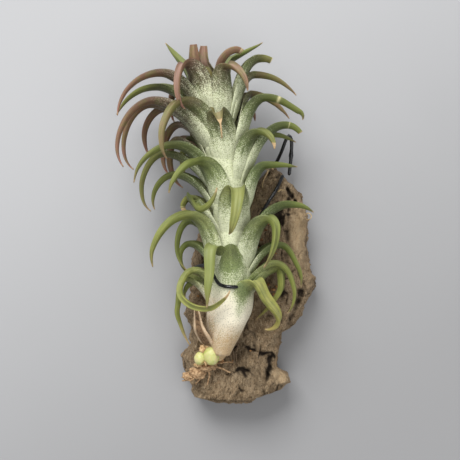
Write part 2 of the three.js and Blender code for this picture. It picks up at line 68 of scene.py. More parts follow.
# Leaf: half of the width round its outside, rolled radius and thickness at each station. Station 0 is the
# foot, 1 the crest of the arch and 2 the tip.
LEAF_HALF_WIDTH = [
    (0, 4.5), (0.35, 9.6), (0.65, 9.2), (0.86, 7.6), (1, 6), (1.22, 5), (1.5, 3.9), (1.75, 2.6), (2, 0.5),
]
LEAF_RADIUS = [
    (0, 8.5), (0.35, 9.5), (0.65, 8), (0.86, 5.4), (1, 3.7), (1.22, 2.9), (1.5, 2.3), (1.75, 1.6), (2, 0.4),
]
LEAF_THICKNESS = [(0, 1.4), (0.65, 1.6), (1, 2.1), (1.3, 2.1), (1.6, 1.8), (1.85, 1.3), (2, 0.5)]
LEAF_MOST_ROLL = 1.9
# Near the stem's foot the sheaths narrow to a neck: the largest radius at every 6 mm, from 6 mm below it.
NECK_STEP = 6
NECK = [3.5, 5.4, 7.1, 8.8, 10.9, 13, 17, 26]
LEAF_FOOT_REACH = 4.5
LEAF_FLARE = 0.12
LEAF_EDGE = 0.42
LEAF_STRIPS = 14
LEAF_RINGS = 54
# Share of the rings that lie between the foot and the crest.
FOOT_SHARE = 0.4
# Curve handles: at the foot, as a share of the leaf's rise; before the crest, of its reach and its rise, or
# of its rise alone where it ends above its crest; and along the arm, of the way from mark to mark.
FOOT_HANDLE = 0.45
CREST_HANDLES = (0.35, 0.14)
UPRIGHT_HANDLE = 0.28
ARM_HANDLE = 0.38
# How sharp the corner is where a sheath's own radius gives way to the neck's.
NECK_CORNER = 1.4
# How far an arm wanders from its line, and over what length.
ARM_WANDER = 0.35
ARM_WANDER_LENGTH = 9
# The station from which an arm may be spread open, and over how much of the leaf that comes and goes.
SPREAD_FROM = 0.75
SPREAD_OVER = 0.3

# Each leaf: foot height, size, share of the arm's taper, its tint, then the points that its margins pass:
# the crest, any turns, and the end. A point is sideways from the middle, height above the stem's foot, and
# distance in front of the stem's centre line. A tint is how bronze and how yellow the leaf is, and where
# they differ from USUAL_ENDS, the station past which it is dried, the station of a pale ring on its arm and
# how far its arm is spread open.
USUAL_ENDS = (1.94, 3, 1)
LEAVES = [
    # Crown
    (114, 0.7, 1, (0.9, 0), [(-9, 146, -8), (-15, 138, -24)]),
    (114, 1, 0.6, (1, 0, 2.1), [(-9.4, 143, 3), (-10.2, 151.8, 4)]),
    (116, 0.9, 0.65, (0.85, 0, 2.1), [(-6.2, 144, -1.5), (-5.8, 152, -2)]),
    (112, 0.75, 1, (0.05, 0), [(-15, 144, -8), (-25.5, 155.5, -16)]),
    (110, 0.85, 1, (1.1, 0), [(-14, 143, 10), (-14.5, 119, 15)]),
    (106, 0.95, 1, (1.0, 0), [(-26, 139.5, 3), (-48, 116.5, 8)]),
    (104, 0.9, 1, (0.15, 0), [(-29, 134, -9), (-50.5, 119, -14)]),
    (113, 1.1, 0.6, (0.9, 0, 1.97, 1.95), [
        (-0.6, 138.5, 0), (2.2, 146, 0), (8.4, 150.8, -1), (14, 149.6, -2),
    ]),
    (114, 0.7, 1, (0.05, 0), [(9, 148, -10), (24, 155.5, -14)]),
    (108, 0.95, 0.4, (0.3, 0, 1.96, 1.97), [(22, 147.5, -4), (28.5, 146, -5)]),
    (105, 0.85, 1, (0.5, 0), [(19.5, 139.5, -6), (41, 128, -8)]),
    (106, 0.9, 1, (0.75, 0), [(5.5, 142, 11), (16, 127.5, 17)]),
    # Upper left
    (92, 1, 1, (0.95, 0), [(-30, 125.5, 6), (-45, 91, 10)]),
    (90, 0.9, 1, (0.85, 0), [(-31.5, 124.5, -2), (-41, 90.5, -3)]),
    (92, 0.9, 1, (1, 0), [(-25, 123, -8), (-33.5, 98, -16)]),
    (90, 1, 1, (0.5, 0), [(-15, 124.5, 12), (-23, 94.5, 20)]),
    (84, 0.9, 1, (0.95, 0), [(-17.5, 115.5, -12), (-24, 88.5, -20)]),
    (78, 0.8, 1, (0.85, 0), [(-18, 108, -14), (-17, 82, -24)]),
    (72, 1, 1, (0.12, 0), [(-19.5, 104, 5), (-40, 83.5, 8)]),
    (70, 0.85, 1, (0.25, 0), [(-25, 100, -4), (-32.5, 69.5, -8)]),
    (62, 0.85, 1, (0.1, 0), [(-20, 89.5, -6), (-31, 70.5, -10)]),
    (62, 1, 1, (0, 0.1), [(-7.5, 95.5, 12), (-22, 78, 20)]),
    (52, 0.8, 0.75, (0.1, 0.3, 1.72, 1.66), [(-12.3, 77.5, -5), (-16.8, 73.5, -6), (-15, 69, -6)]),
    (52, 0.8, 1, (0, 0.15, 1.9), [(-10.5, 76.5, 3), (-5.5, 71, 13), (1.2, 80.7, 17)]),
    # Upper right
    (98, 0.9, 1, (0.6, 0), [(17.5, 130, -9), (37.5, 116.5, -10)]),
    (96, 0.75, 1, (0.8, 0), [(12.5, 125, -12), (20.5, 116.5, -20)]),
    (92, 1, 1, (0.1, 0, 1.94, 1.2), [(24.5, 127.5, 4), (42.5, 119.5, 5), (43.5, 114.5, 5)]),
    (78, 0.95, 1, (0.15, 0, 1.8), [(21, 110, 10), (29, 99.5, 16)]),
    (76, 0.9, 0.55, (0.05, 0, 1.96, 1.25), [(34.5, 114, 0), (43.5, 109, 0)]),
    (74, 0.7, 1, (0.1, 0), [(27.5, 109.5, -9), (41, 104.5, -11)]),
    (60, 0.95, 1, (0, 0), [(25.5, 94, 4), (41, 91.5, 3)]),
    # Front
    (84, 1, 1.7, (0.45, 0, 1.46), [(1, 119, 14), (3.5, 104.5, 19)]),
    (50, 1.05, 1, (0.05, 0.25, 1.94, 3, 1.1), [(10.5, 82, 15), (7, 58, 20)]),
    # Lower left
    (12, 0.85, 1, (0, 0.15, 1.94, 3, 1.35), [(0, 52.8, 11), (-2.6, 38, 17), (-3.8, 21.8, 18)]),
    (24, 1.15, 1, (0, 0.25), [(-12, 69.5, 8), (-30.5, 42, 12)]),
    (40, 0.85, 1, (0, 0.1), [(-12, 66, -4), (-20, 53.5, -5), (-14, 39.5, -2)]),
    (30, 0.8, 1, (0, 0.1), [(-12.5, 54.5, -6), (-18.5, 47.5, -6), (-12.5, 37.5, -4)]),
    (22, 0.75, 1, (0, 0.5, 1.86), [
        (-10, 41, 2), (-17, 35, 6), (-16.5, 26, 10), (-5, 21, 15), (3.5, 25, 17), (7.5, 30.5, 17),
    ]),
    (14, 0.8, 1, (0, 0.3), [(-14, 37, -4), (-20, 21.5, -4), (-18.5, 12.5, -4), (-13, 1, -2)]),
    (20, 0.85, 1, (0, 0.1), [(-10, 35, -6), (-15, 26, -8)]),
    # Lower right
    (44, 0.95, 1, (0, 0), [(36, 74.5, -1), (49.5, 69, -2)]),
    (30, 1.15, 1, (0, 0.15), [(26, 67.5, 9), (31, 60, 12), (24, 41.5, 14)]),
    (30, 0.85, 1, (0, 0.05), [(32, 54, -4), (42, 43, -4), (43.5, 31, -4)]),
    (20, 0.8, 1, (0, 0.25), [(30, 44.5, 3), (40, 32, 3), (36, 18, 2)]),
    (18, 1.05, 1, (0, 0.35), [(31, 43, -2), (34.5, 33, -1), (30.5, 24, -3), (20.5, 14, -6)]),
    (6, 1.15, 1, (0, 1, 1.94, 3, 1.2), [
        (19.5, 36, 9), (26.5, 26, 9), (32.5, 17, 6), (31, 11.5, 4), (25, 10, 2),
    ]),
]
# Two leaves on the front end in a blunt dome close above their sheaths.
DOMED_LEAVES = [
    (14, 1.25, 1, (0, 0.1, 3), [(8.1, 37, 5), (8, 53, 11.4)]),
    (-3, 1.3, 1, (0, 0.1, 3), [(9.8, 20, 4.6), (14.6, 34.8, 10.6)]),
]
# How far a domed leaf's filled channel stands out past its margins, as a share of its depth.
DOME = 0.85
# A domed leaf is narrower at its foot by this share, and is at its full width from this station on.
DOMED_FOOT = 0.35
DOMED_FULL = 0.3
# A domed leaf's full half width for a size of 1, how far below its top it starts to round off, and how far
# it is rolled at its top and at its full width.
DOMED_HALF_WIDTH = 6.2
DOMED_ROUND = 18
DOMED_ROLL = (0.7, 1.5)
# The lowest sheath is still green from one place on its front to another, narrowing on the way.
FRESH_FROM = (15.4, -32)
FRESH_TO = (10.5, -51)
FRESH_WIDTH = 6
# Olive stretch of the front sheath above the wire: centre, and reach to the side and along.
OLIVE = (8.2, -26, 8, 6)
# Heights below which the lowest sheath shows, and the sheaths are cream, tan at the left, tan all round and
# dry, each with how much further down that is so in full.
LOWEST_SHEATH = (-24, -6)
CREAM = (-29, -11)
TAN_LEFT = (-35, -4)
TAN_NECK = (-46, -12)
DRY_NECK = (-50, -14)
DRY_NECK_MOST = 0.7
# The station at which a sheath's look ends, and how much before it that look is full.
SHEATH_END = (1.02, -0.1)
# A tip dries over this length, less where it is usual, and a pale ring reaches this far to each side.
TIP_DRIES_OVER = 0.03
USUAL_TIP_DRYNESS = 0.55
RING_REACH = 0.018
# A leaf whose arm tapers less than this ends before its tip, so its skin stays that of this station.
LITTLE_TAPER = 0.8
LITTLE_TAPER_END = 1.6
# The stem's blunt end behind the buds: centre, and half of the width, height and depth.
STEM_END = ((1.8, -65.5, 30), (4.4, 5, 4.2))
# Leaves behind the upper stem: how many, where they start, how far they reach and where they are bronze.
BACK_LEAVES = 9
BACK_FIRST_FOOT = 65.4
BACK_FOOT_STEP = 5.5
BACK_FIRST_BEARING = 152.6
BACK_BEARING_STEP = 17.6
BACK_SIZE = 0.85
BACK_RISE = 32
BACK_CREST_REACH = 18
BACK_TIP_REACH = 31
BACK_TIP_DROP = 20
BACK_BRONZE_FROM = 70
BACK_BRONZE_OVER = 30
# The dried leaf, and how much wider and hollower its front is.
DRY_LEAF = (-1, 0.66, 0.8, (0, 0), [(-7.6, 13, 5.4), (-9.4, 22.5, 5.2)])
HOLLOW_SPREAD = 1.35
HOLLOW_DEPTH = 0.5

# Cork bark: rows across the slab, each with its place along it, left edge and right edge.
BARK_ROWS = [
    (-94, 0, 19), (-91, -11, 22), (-87, -12.5, 34), (-83, -13.5, 38.5), (-79, -15, 38.5),
    (-75, -16.5, 31.5), (-70, -18, 32.5), (-64, -13.5, 33.5), (-57, -13, 34.5), (-53, -14, 42),
    (-48, -17, 46), (-43, -15.5, 47), (-38, -13, 49.5), (-34, -12.7, 52), (-30, -12.5, 52.5),
    (-23, -12.5, 49), (-14, -11, 48), (-6, -8.7, 48), (2, -5, 48), (9, 2, 46.5), (14, 12.5, 44.5),
    (19, 21, 41), (22, 23, 37.5), (26, 25.5, 34), (28, 28, 32),
]
BARK_COLUMNS = 128
BARK_LINES = 236
BARK_LEVELS = 14
BARK_THICKNESS = 25
BARK_SIDE = [(0, 5), (0.3, 0.8), (0.74, 0), (1, 1.4)]
BARK_RIM = 0.86
BARK_RIDGE = 1.3
BARK_PIT = 0.8
BARK_ARCH = 5
BARK_MIDDLE_X = 16
BARK_HALF_WIDTH = 34
# How far its edges are ragged and wander, how far in from them it rounds off, and where its front starts.
BARK_RAGGED = 1.2
BARK_LEDGE = 0.9
BARK_RIM_REACH = 1.6
BARK_FRONT_FROM = 0.97
# How deep its front's seams, furrows, crumbs and knobs go.
BARK_SEAM = 1.7
BARK_FURROW = 0.7
BARK_CRUMB = 0.8
BARK_KNOB = 0.8
SEAM_WIDTH = 0.05
# Deep cracks: both ends, depth and width.
BARK_CRACKS = [
    ((28.5, -69.5), (26.8, -78), 5.5, 1.5),
    ((26.8, -78), (24.5, -92), 2.4, 0.8),
    ((37.3, 17), (40.8, 11), 3.6, 1),
    ((32.3, 8), (33, 1), 6, 1.9),
    ((38, 12), (36, -22), 2.4, 1.1),
    ((16, -64), (27, -69), 2.2, 0.8),
    ((13.5, -79), (8.5, -62), 1.8, 1.9),
    ((-1.7, -79), (-1.2, -88), 1.5, 0.6),
    ((15.7, -76.2), (16.3, -76.4), 2.2, 0.9),
    ((36.5, -2), (35.5, -14), 1.5, 0.8),
    ((44, -36), (38, -52), 3.5, 1.8),
]
# Worn places on its front, and darker ones, the one beside the neck being painted shade of the hollow there:
# centre, reach to the side and along, and how much.
BARK_WORN = [(42.5, -6, 5, 17, 1), (34, -79, 5, 5, 0.8)]
BARK_SHADES = [(20.5, -81, 9, 8, 0.36), (14, -65, 5, 6, 0.45), (28, -30, 8, 14, 0.1), (30, 6, 5, 10, 0.2)]

# Wire: its path, as the solids have it, and the stretch behind the slab.
WIRE_RADIUS = 0.92
WIRE_STATIONS = 240
# Its round ends: how far past the path's end, and how wide, in wire radii.
WIRE_CAP = [(0.55, 0.8), (0.85, 0.42)]
# The collar on its hook: how far from its end, and how wide at three places in turn.
COLLAR_AT = 10
COLLAR = (1.15, 1.35, 1.15)
WIRE_PATH = [
    (38.6, 25.5, 10), (39.6, 36, 11), (39.5, 43.6, 12), (38.3, 45.4, 12), (37, 43.6, 11.5),
    (34.5, 37, 9), (31.5, 30.5, 4.5), (27.5, 22, 2.2), (15, 3, 2.2), (0, -17, 2.2), (-11, -31, 2.6),
    (-14.8, -31, 8), (-15, -28, 18), (-13, -25, 25), (-8.5, -22.5, 29), (-4.2, -22, 34),
    (-1.5, -24.5, 41), (2.4, -30.8, 47.6), (8, -32, 50.2), (14, -31.5, 46.5), (19, -29, 39), (20, -26, 32),
    (18.5, -19, 27), (19.5, -6, 26.5), (24.5, 6, 27.5), (31, 16.5, 27), (34.5, 23.6, 22),
]
GROOVE_FROM = 6
GROOVE_TO = 11
GROOVE_DEPTH = 3.4
GROOVE_REACH = 2

# Buds and remains of old sheath round them: centre, and half of the width, height and depth.
BUDS = [((-7.6, -69.2, 31), (3.1, 3.4, 2.9)), ((-1.9, -67.6, 32.3), (4.1, 5.0, 3.9))]
TISSUE = [
    ((-6.3, -64.3, 31.6), (1.6, 1.9, 1.0)), ((-3.6, -62.8, 32.6), (1.5, 1.5, 1.0)),
    ((-4.8, -70.6, 32.4), (0.8, 1.9, 0.8)), ((-8.6, -72.6, 29.6), (2.2, 1.2, 0.9)),
    ((2.6, -64.2, 32.4), (1.2, 1.6, 0.8)),
]
# Rust on the buds: centre, reach to the side and along, and the height below which there is more of it.
BUD_RUST_SPOT = (-5.6, -71.5, 1.5, 1.8)
BUD_RUST_BELOW = -72.4
ROOTS = [
    [(-7, -75, 27.8), (-11, -80, 27), (-17, -81.5, 25)],
    [(-6, -74, 27.4), (-7, -79, 27), (-10, -83, 25.5)],
    [(-4.5, -73, 27.1), (-3, -78, 27), (-4, -83.5, 25.5)],
    [(-3, -72.5, 27.6), (3, -74.6, 27.2), (7.5, -77, 25.7)],
    [(-2.5, -72, 28.1), (4, -71.6, 27.9), (9, -71.5, 26.8)],
]
ROOT_RADIUS = 0.65
ROOT_LUMPS = [((-4, -73, 28), (4.5, 3, 2.4)), ((-9, -77, 27), (4, 3, 2.2)), ((-14, -79, 25.5), (3, 2, 1.8))]

# Crumbs on the bark: place and size. Scraps of old sheath: centre, and half of the width, height and depth.
CRUMBS = [
    (27.5, -32, 1.0), (29.5, -34.5, 1.2), (31.5, -33, 0.8), (30, -37, 0.9), (33, -36, 0.6),
    (26.5, -35.5, 0.7), (26, -4, 0.7), (23.5, -9, 0.9), (27.5, -1, 0.6), (30, -11, 0.6), (31, -16, 0.5),
    (22, -13, 0.8), (-9, -38, 0.8), (-10.5, -43, 0.6), (9, -71, 0.6), (18, -66, 0.5),
]
SCRAPS = [
    ((-4.4, -71.6, 31.5), (1.3, 1.0, 0.7)), ((-3.2, -72.6, 30.6), (1.0, 1.3, 0.7)),
    ((-5.6, -73, 30), (1.1, 0.9, 0.7)), ((2.9, -67, 31), (1.1, 1.9, 0.8)),
    ((3.4, -70, 29.6), (0.9, 1.5, 0.7)), ((-5.2, -65.2, 32.2), (0.9, 0.9, 0.6)),
]
# Fibres: how many points, taper, length over which they sway, how far, and seed, then each kind's radius and
# the points that each one passes.
FIBRES = (26, 0.5, 3, 0.3, 9)
TAN_FIBRE_RADIUS = 0.34
DARK_ROOT_RADIUS = 0.42
TAN_FIBRES = [
    [(27.3, 26.6, 26), (26.3, 24.5, 27), (24.6, 21, 27.5), (23.9, 17.5, 26)],
    [(29.8, 27.2, 23), (28, 27.8, 25.5), (26, 26.6, 26)],
    [(32, 15.5, 28), (33.6, 16.6, 28.3), (35.2, 16.2, 28)],
    [(46.3, 3.6, 22), (47.6, 4.6, 24), (49.2, 3.4, 25), (48.4, 1.6, 25), (46.6, 1.4, 23)],
]
DARK_ROOTS = [
    [(9, -58, 30), (8.5, -63, 27.5), (9.5, -69, 25.6), (8.2, -75, 24.6)],
    [(11, -57, 29), (11.5, -63, 26.4), (10.6, -69, 25), (11, -73, 24.2)],
    [(7.5, -61, 29.5), (6.8, -66, 27.5), (7.6, -71, 25.4), (6.6, -76, 24.4)],
]


# Plan


def value_at(rows, station):
    """The value between the rows of (station, value) that station falls between."""
    return float(np.interp(station, [row[0] for row in rows], [row[1] for row in rows]))


def smooth_at(values, place):
    """A smooth value between evenly spaced ones."""
    last = len(values) - 1
    place = min(max(place, 0), last)
    i = min(int(place), last - 1)
    t = place - i
    a, b, c, d = (values[min(max(k, 0), last)] for k in (i - 1, i, i + 1, i + 2))
    return b + 0.5 * t * (c - a + t * (2 * a - 5 * b + 4 * c - d + t * (3 * (b - c) + d - a)))


def soft_least(a, b):
    """The smaller of two lengths, with the corner between them rounded."""
    return -math.log(math.exp(-NECK_CORNER * a) + math.exp(-NECK_CORNER * b)) / NECK_CORNER


def limited(value):
    """A value kept between 0 and 1."""
    return min(1, max(0, value))


def stem_point(height):
    """The stem's centre line at a height above its foot."""
    place = height / STEM_STEP
    return Vector((smooth_at(STEM_X, place), FOOT_Y + height, smooth_at(STEM_Z, place)))


def leaf_point(point):
    """A point of the leaf list, in the plan's frame."""
    side, height, front = point
    return Vector((side, FOOT_Y + height, stem_point(height).z + front))


def leaf_line(foot, points):
    """A leaf's midline as curve pieces (from, to, four control points), and the way that it faces."""
    marks = [leaf_point(p) for p in points]
    crest = marks[0]
    outward = crest - stem_point(points[0][1])
    outward.y = 0
    outward.normalize()
    start = stem_point(foot) + outward * LEAF_FOOT_REACH
    rise = crest.y - start.y
    lateral = math.hypot(crest.x - start.x, crest.z - start.z)
    away = (Vector((0, 1, 0)) + outward * LEAF_FLARE).normalized()
    upright = marks[-1].y > crest.y
    over = (marks[1] - crest).normalized() if upright else outward.copy()
    back = UPRIGHT_HANDLE * rise if upright else CREST_HANDLES[0] * lateral + CREST_HANDLES[1] * rise
    pieces = [(0, 1, (start, start + away * (FOOT_HANDLE * rise), crest - over * back, crest))]
    direction = over
    for i in range(1, len(marks)):
        chord = marks[i] - marks[i - 1]
        length = chord.length
        chord.normalize()
        if i < len(marks) - 1:
            onward = (marks[i + 1] - marks[i - 1]).normalized()
        else:
            onward = chord * (2 * direction.dot(chord)) - direction
        reach = ARM_HANDLE * length
        handles = (marks[i - 1] + direction * reach, marks[i] - onward * reach)
        step = 1 / (len(marks) - 1)
        pieces.append((1 + (i - 1) * step, 1 + i * step, (marks[i - 1], *handles, marks[i])))
        direction = onward
    return pieces, outward


def on_line(pieces, station):
    """The midline's place and direction at a station."""
    start, end, (a, b, c, d) = next((p for p in pieces if station <= p[1] + 1e-9), pieces[-1])
    t = (station - start) / (end - start)
    s = 1 - t
    point = a * s**3 + b * (3 * s * s * t) + c * (3 * s * t * t) + d * t**3
    along = (b - a) * (s * s) + (c - b) * (2 * s * t) + (d - c) * (t * t)
    return point, along.normalized()


def back_leaves():
    """Leaves that the plant's spiral puts behind the upper stem."""
    made = []
    for i in range(BACK_LEAVES):
        foot = BACK_FIRST_FOOT + BACK_FOOT_STEP * i
        bearing = math.radians(BACK_FIRST_BEARING + BACK_BEARING_STEP * ((i * 2) % 5))
        crest = foot + BACK_RISE
        points = []
        for reach, height in ((BACK_CREST_REACH, crest), (BACK_TIP_REACH, crest - BACK_TIP_DROP)):
            side = stem_point(height).x + reach * math.sin(bearing)
            points.append((side, height, reach * math.cos(bearing)))
        bronze = limited((foot - BACK_BRONZE_FROM) / BACK_BRONZE_OVER)
        made.append((foot, BACK_SIZE, 1, (bronze, 0), points))
    return made


def smooth_path(points, count):
    """Evenly spread points along a smooth line through the given ones."""
    ends = [tuple(2 * a - b for a, b in zip(points[0], points[1]))]
    ends.append(tuple(2 * a - b for a, b in zip(points[-1], points[-2])))
    line = [Vector(p) for p in (ends[0], *points, ends[1])]
    fine = []
    for i in range(1, len(line) - 2):
        p0, p1, p2, p3 = line[i - 1 : i + 3]
        d0, d1, d2 = ((b - a).length ** 0.5 or 1.0 for a, b in ((p0, p1), (p1, p2), (p2, p3)))
        m1 = ((p1 - p0) / d0 - (p2 - p0) / (d0 + d1) + (p2 - p1) / d1) * d1
        m2 = ((p2 - p1) / d1 - (p3 - p1) / (d1 + d2) + (p3 - p2) / d2) * d1
        for k in range(24):
            t = k / 24
            fine.append(
                p1 * (2 * t**3 - 3 * t * t + 1) + m1 * (t**3 - 2 * t * t + t)
                + p2 * (3 * t * t - 2 * t**3) + m2 * (t**3 - t * t)
            )
    fine.append(line[-2])
    lengths = np.cumsum([0.0] + [(b - a).length for a, b in zip(fine, fine[1:])])
    wanted = np.linspace(0, lengths[-1], count)
    columns = [np.interp(wanted, lengths, [p[k] for p in fine]) for k in range(3)]
    return [Vector(p) for p in zip(*columns)]


# Mesh tools


def deselect():
    bpy.ops.object.select_all(action="DESELECT")


def select_only(*objects):
    deselect()
    for obj in objects:
        obj.select_set(True)
    bpy.context.view_layer.objects.active = objects[0]


def placed(name, data):
    """A new object in the scene, from its mesh, curve, light or camera."""
    obj = bpy.data.objects.new(name, data)
    bpy.context.scene.collection.objects.link(obj)
    return obj


def edit(obj):
    select_only(obj)
    bpy.ops.object.mode_set(mode="EDIT")
    bpy.ops.mesh.select_mode(type="EDGE")


def done():
    bpy.ops.object.mode_set(mode="OBJECT")


def cut_upright(obj, cuts):
    """Cut a blank's upright edges, and so its sides, at the given number of levels."""
    edit(obj)
    bpy.ops.mesh.select_all(action="DESELECT")
    done()
    mesh = obj.data
    heights = [round(v.co.z, 2) for v in mesh.vertices]
    mesh.edges.foreach_set("select", [heights[e.vertices[0]] != heights[e.vertices[1]] for e in mesh.edges])
    bpy.ops.object.mode_set(mode="EDIT")
    bpy.ops.mesh.subdivide(number_cuts=cuts)
    done()


def face_outward(obj):
    """Turn all faces of a closed mesh outward."""
    edit(obj)
    bpy.ops.mesh.select_all(action="SELECT")
    bpy.ops.mesh.normals_make_consistent(inside=False)
    done()


def slab_blank(name, columns, rows, levels):
    """A flat block: 2 by 2 and 1 high, cut into columns, rows and, up its sides, levels."""
    deselect()
    bpy.ops.mesh.primitive_grid_add(x_subdivisions=columns, y_subdivisions=rows, size=2)
    blank = bpy.context.object
    blank.name = name
    edit(blank)
    bpy.ops.mesh.select_all(action="SELECT")
    bpy.ops.mesh.extrude_region_move(TRANSFORM_OT_translate={"value": (0, 0, 1)})
    done()
    cut_upright(blank, levels - 1)
    face_outward(blank)
    return blank


def coordinates(mesh):
    flat = np.empty(len(mesh.vertices) * 3)
    mesh.vertices.foreach_get("co", flat)
    return flat.reshape(-1, 3)


def put(mesh, places):
    """Move a mesh's points to places in the plan, and so to the model's frame."""
    mesh.vertices.foreach_set("co", ((np.asarray(places) + MIDDLE) * MM).ravel())
    mesh.update()


def give(mesh, name, values):
    """Keep one number for each point of a mesh, for its material to read."""
    layer = mesh.attributes.get(name) or mesh.attributes.new(name, "FLOAT", "POINT")
    layer.data.foreach_set("value", np.asarray(values, float))


def smooth(obj):
    select_only(obj)
    bpy.ops.object.shade_smooth()


def joined(objects, name):
    """One smooth piece from one or more."""
    select_only(*objects)
    if len(objects) > 1:
        bpy.ops.object.join()
    made = bpy.context.object
    made.name = name
    made.data.name = name
    smooth(made)
    return made


def tube(name, path, radii, sides):
    """A round rod along the path, with the radius given at each point."""
    curve = bpy.data.curves.new(name, "CURVE")
    curve.dimensions = "3D"
    curve.bevel_depth = MM
    curve.bevel_resolution = max(0, sides // 4 - 1)
    curve.use_fill_caps = True
    spline = curve.splines.new("POLY")
    spline.points.add(len(path) - 1)
    for point, place, radius in zip(spline.points, path, radii):
        point.co = (*((Vector(place) + Vector(MIDDLE)) * MM), 1)
        point.radius = radius
    select_only(placed(name, curve))
    bpy.ops.object.convert(target="MESH")
    made = bpy.context.object
    edit(made)
    bpy.ops.mesh.select_all(action="SELECT")
    bpy.ops.mesh.remove_doubles(threshold=1e-6)
    bpy.ops.mesh.normals_make_consistent(inside=False)
    done()
    return made


def noise_at(x, y, z):
    """A smooth random number for a place."""
    return noise.noise(Vector((x, y, z)))


def rough_at(x, y, z, falloff=0.7, octaves=5):
    """A random number for a place, with ever finer changes."""
    return noise.fractal(Vector((x, y, z)), falloff, 2.1, octaves)


def drift(place):
    """A smooth random vector for a place."""
    return Vector(noise.noise(place + Vector((shift, 0, 0))) for shift in (0, 31.7, 64.3))


def wobble(place, scale, seed):
    """A smooth random vector for a place, changing over the given length."""
    return drift(Vector(place) / scale + Vector((seed, 2.3 * seed, 5.1)))


def lump(name, centre, half, detail, rough, seed):
    """A ball drawn out to its size, with an uneven skin."""
    deselect()
    bpy.ops.mesh.primitive_ico_sphere_add(subdivisions=detail, radius=1)
    ball = bpy.context.object
    ball.name = name
    places = []
    for p in coordinates(ball.data):
        p = Vector(p)
        swell = 1 + rough * noise.fractal(p * 1.6 + Vector((seed, seed, 0)), 0.8, 2.1, 4)
        places.append([c + h * k * swell for c, h, k in zip(centre, half, p)])
    put(ball.data, places)
    return ball


def lumps(name, places, detail, rough, seed, step):
    """A lump at each of the places (centre, half of its size), with its own seed."""
    return [lump(f"{name}_{i}", *place, detail, rough, seed + step * i) for i, place in enumerate(places)]


def strands(name, lines, radius, count, taper, length, sway, seed=0, uneven=0):
    """A thin rod of count points along each line, tapered, and swaying off its line over a length."""
    made = []
    for number, line in enumerate(lines):
        path = [p + wobble(p, length, seed + number) * sway for p in smooth_path(line, count)]
        shares = [1 - taper * i / (count - 1) for i in range(count)]
        radii = [radius * share * (1 + uneven * noise.noise(p)) for share, p in zip(shares, path)]
        made.append(tube(f"{name}_{number}", path, radii, 8))
    return made


# Materials

# Colours, as red, green and blue. A row of them, or of amounts, starts each one with its place, which goes
# from 0 at a leaf's foot to 1 at its tip.
GREEN_SKIN = [
    (0, 0.34, 0.38, 0.20), (0.2, 0.25, 0.31, 0.13), (0.29, 0.13, 0.17, 0.055),
    (0.4, 0.07, 0.09, 0.026), (0.53, 0.08, 0.10, 0.024), (0.66, 0.125, 0.152, 0.034),
    (0.88, 0.15, 0.172, 0.042), (1, 0.19, 0.15, 0.07),
]
BRONZE_SKIN = [
    (0, 0.36, 0.38, 0.22), (0.2, 0.19, 0.18, 0.10), (0.3, 0.095, 0.078, 0.040),
    (0.43, 0.082, 0.054, 0.030), (0.5, 0.098, 0.056, 0.032), (0.6, 0.135, 0.072, 0.040),
    (0.75, 0.175, 0.096, 0.056), (0.93, 0.24, 0.125, 0.085), (1, 0.32, 0.14, 0.11),
]
YELLOW_SKIN = [
    (0, 0.50, 0.48, 0.25), (0.35, 0.38, 0.39, 0.15), (0.6, 0.33, 0.33, 0.08), (1, 0.28, 0.23, 0.06),
]
SCURF_COVER = [
    (0, 0.86), (0.14, 0.79), (0.22, 0.62), (0.29, 0.29), (0.36, 0.07), (0.44, 0.01), (0.6, 0.05), (1, 0.04),
]
BRONZE_COVER = [
    (0, 0.84), (0.14, 0.72), (0.22, 0.5), (0.28, 0.3), (0.36, 0.27), (0.45, 0.28), (0.53, 0.06), (1, 0),
]
PALE_GREEN = (0.225, 0.26, 0.088)
PALE_YELLOW = (0.36, 0.35, 0.12)
PALE_BRONZE = (0.34, 0.21, 0.165)
AGED_CREAM = (0.60, 0.54, 0.38)
AGED_PINK = (0.56, 0.37, 0.19)
FRESH_GREEN = (0.13, 0.165, 0.058)
SILVER = ((0.50, 0.53, 0.32), (0.77, 0.775, 0.575))
DULL_SILVER = ((0.185, 0.20, 0.078), (0.36, 0.285, 0.215))
AGED_SILVER = (0.90, 0.80, 0.66)
PORE = (0.045, 0.052, 0.02)
STRAW = ((0.32, 0.19, 0.08), (0.66, 0.50, 0.29))
STRAW_SPECK = (0.16, 0.07, 0.03)
NECK_FLECK = (0.19, 0.09, 0.04)
PALE_RING = (0.62, 0.56, 0.30)
SCALE_SIZE = 0.42
LEAF_LINE_COUNT = 9.0
BARK_PATCHES = [(0.3, 0.165, 0.112, 0.062), (0.5, 0.25, 0.176, 0.102), (0.7, 0.33, 0.245, 0.152)]
# Painted shade, nearly black, in the bark's cracks and hollows.
BARK_CRACK_SHADE = (0.014, 0.009, 0.006)
BUD_SKIN = [(0.3, 0.42, 0.45, 0.13), (0.5, 0.52, 0.52, 0.20), (0.72, 0.58, 0.49, 0.24)]
BUD_RUST = (0.32, 0.12, 0.04)
# Dry pieces, each with its dark and its light colour.
ROOT_COLORS = ((0.17, 0.09, 0.04), (0.54, 0.36, 0.20))
CRUMB_COLORS = ((0.10, 0.045, 0.02), (0.42, 0.22, 0.09))
TISSUE_COLORS = ((0.38, 0.20, 0.08), (0.72, 0.52, 0.28))
FIBRE_COLORS = ((0.34, 0.22, 0.10), (0.66, 0.50, 0.28))
DARK_ROOT_COLORS = ((0.05, 0.03, 0.018), (0.26, 0.18, 0.11))
# The floor's darker and lighter colour, for its painted shade.
FLOOR_SHADE_COLORS = ((0.29, 0.288, 0.29), (0.405, 0.405, 0.41))
# What a leaf's material reads at each of its points.
LEAF_LABELS = ("along", "across", "inside", "bronze", "yellow", "dried", "ring", "old", "pink", "fresh")


class Value:
    """An output of a shader node, of which sums and products can be made."""

    def __init__(self, socket):
        self.socket = socket

    def __add__(self, other):
        return maths("ADD", self, other)

    def __sub__(self, other):
        return maths("SUBTRACT", self, other)

    def __rsub__(self, other):
        return maths("SUBTRACT", other, self)

    def __mul__(self, other):
        return maths("MULTIPLY", self, other)

    def __abs__(self):
        return maths("ABSOLUTE", self)


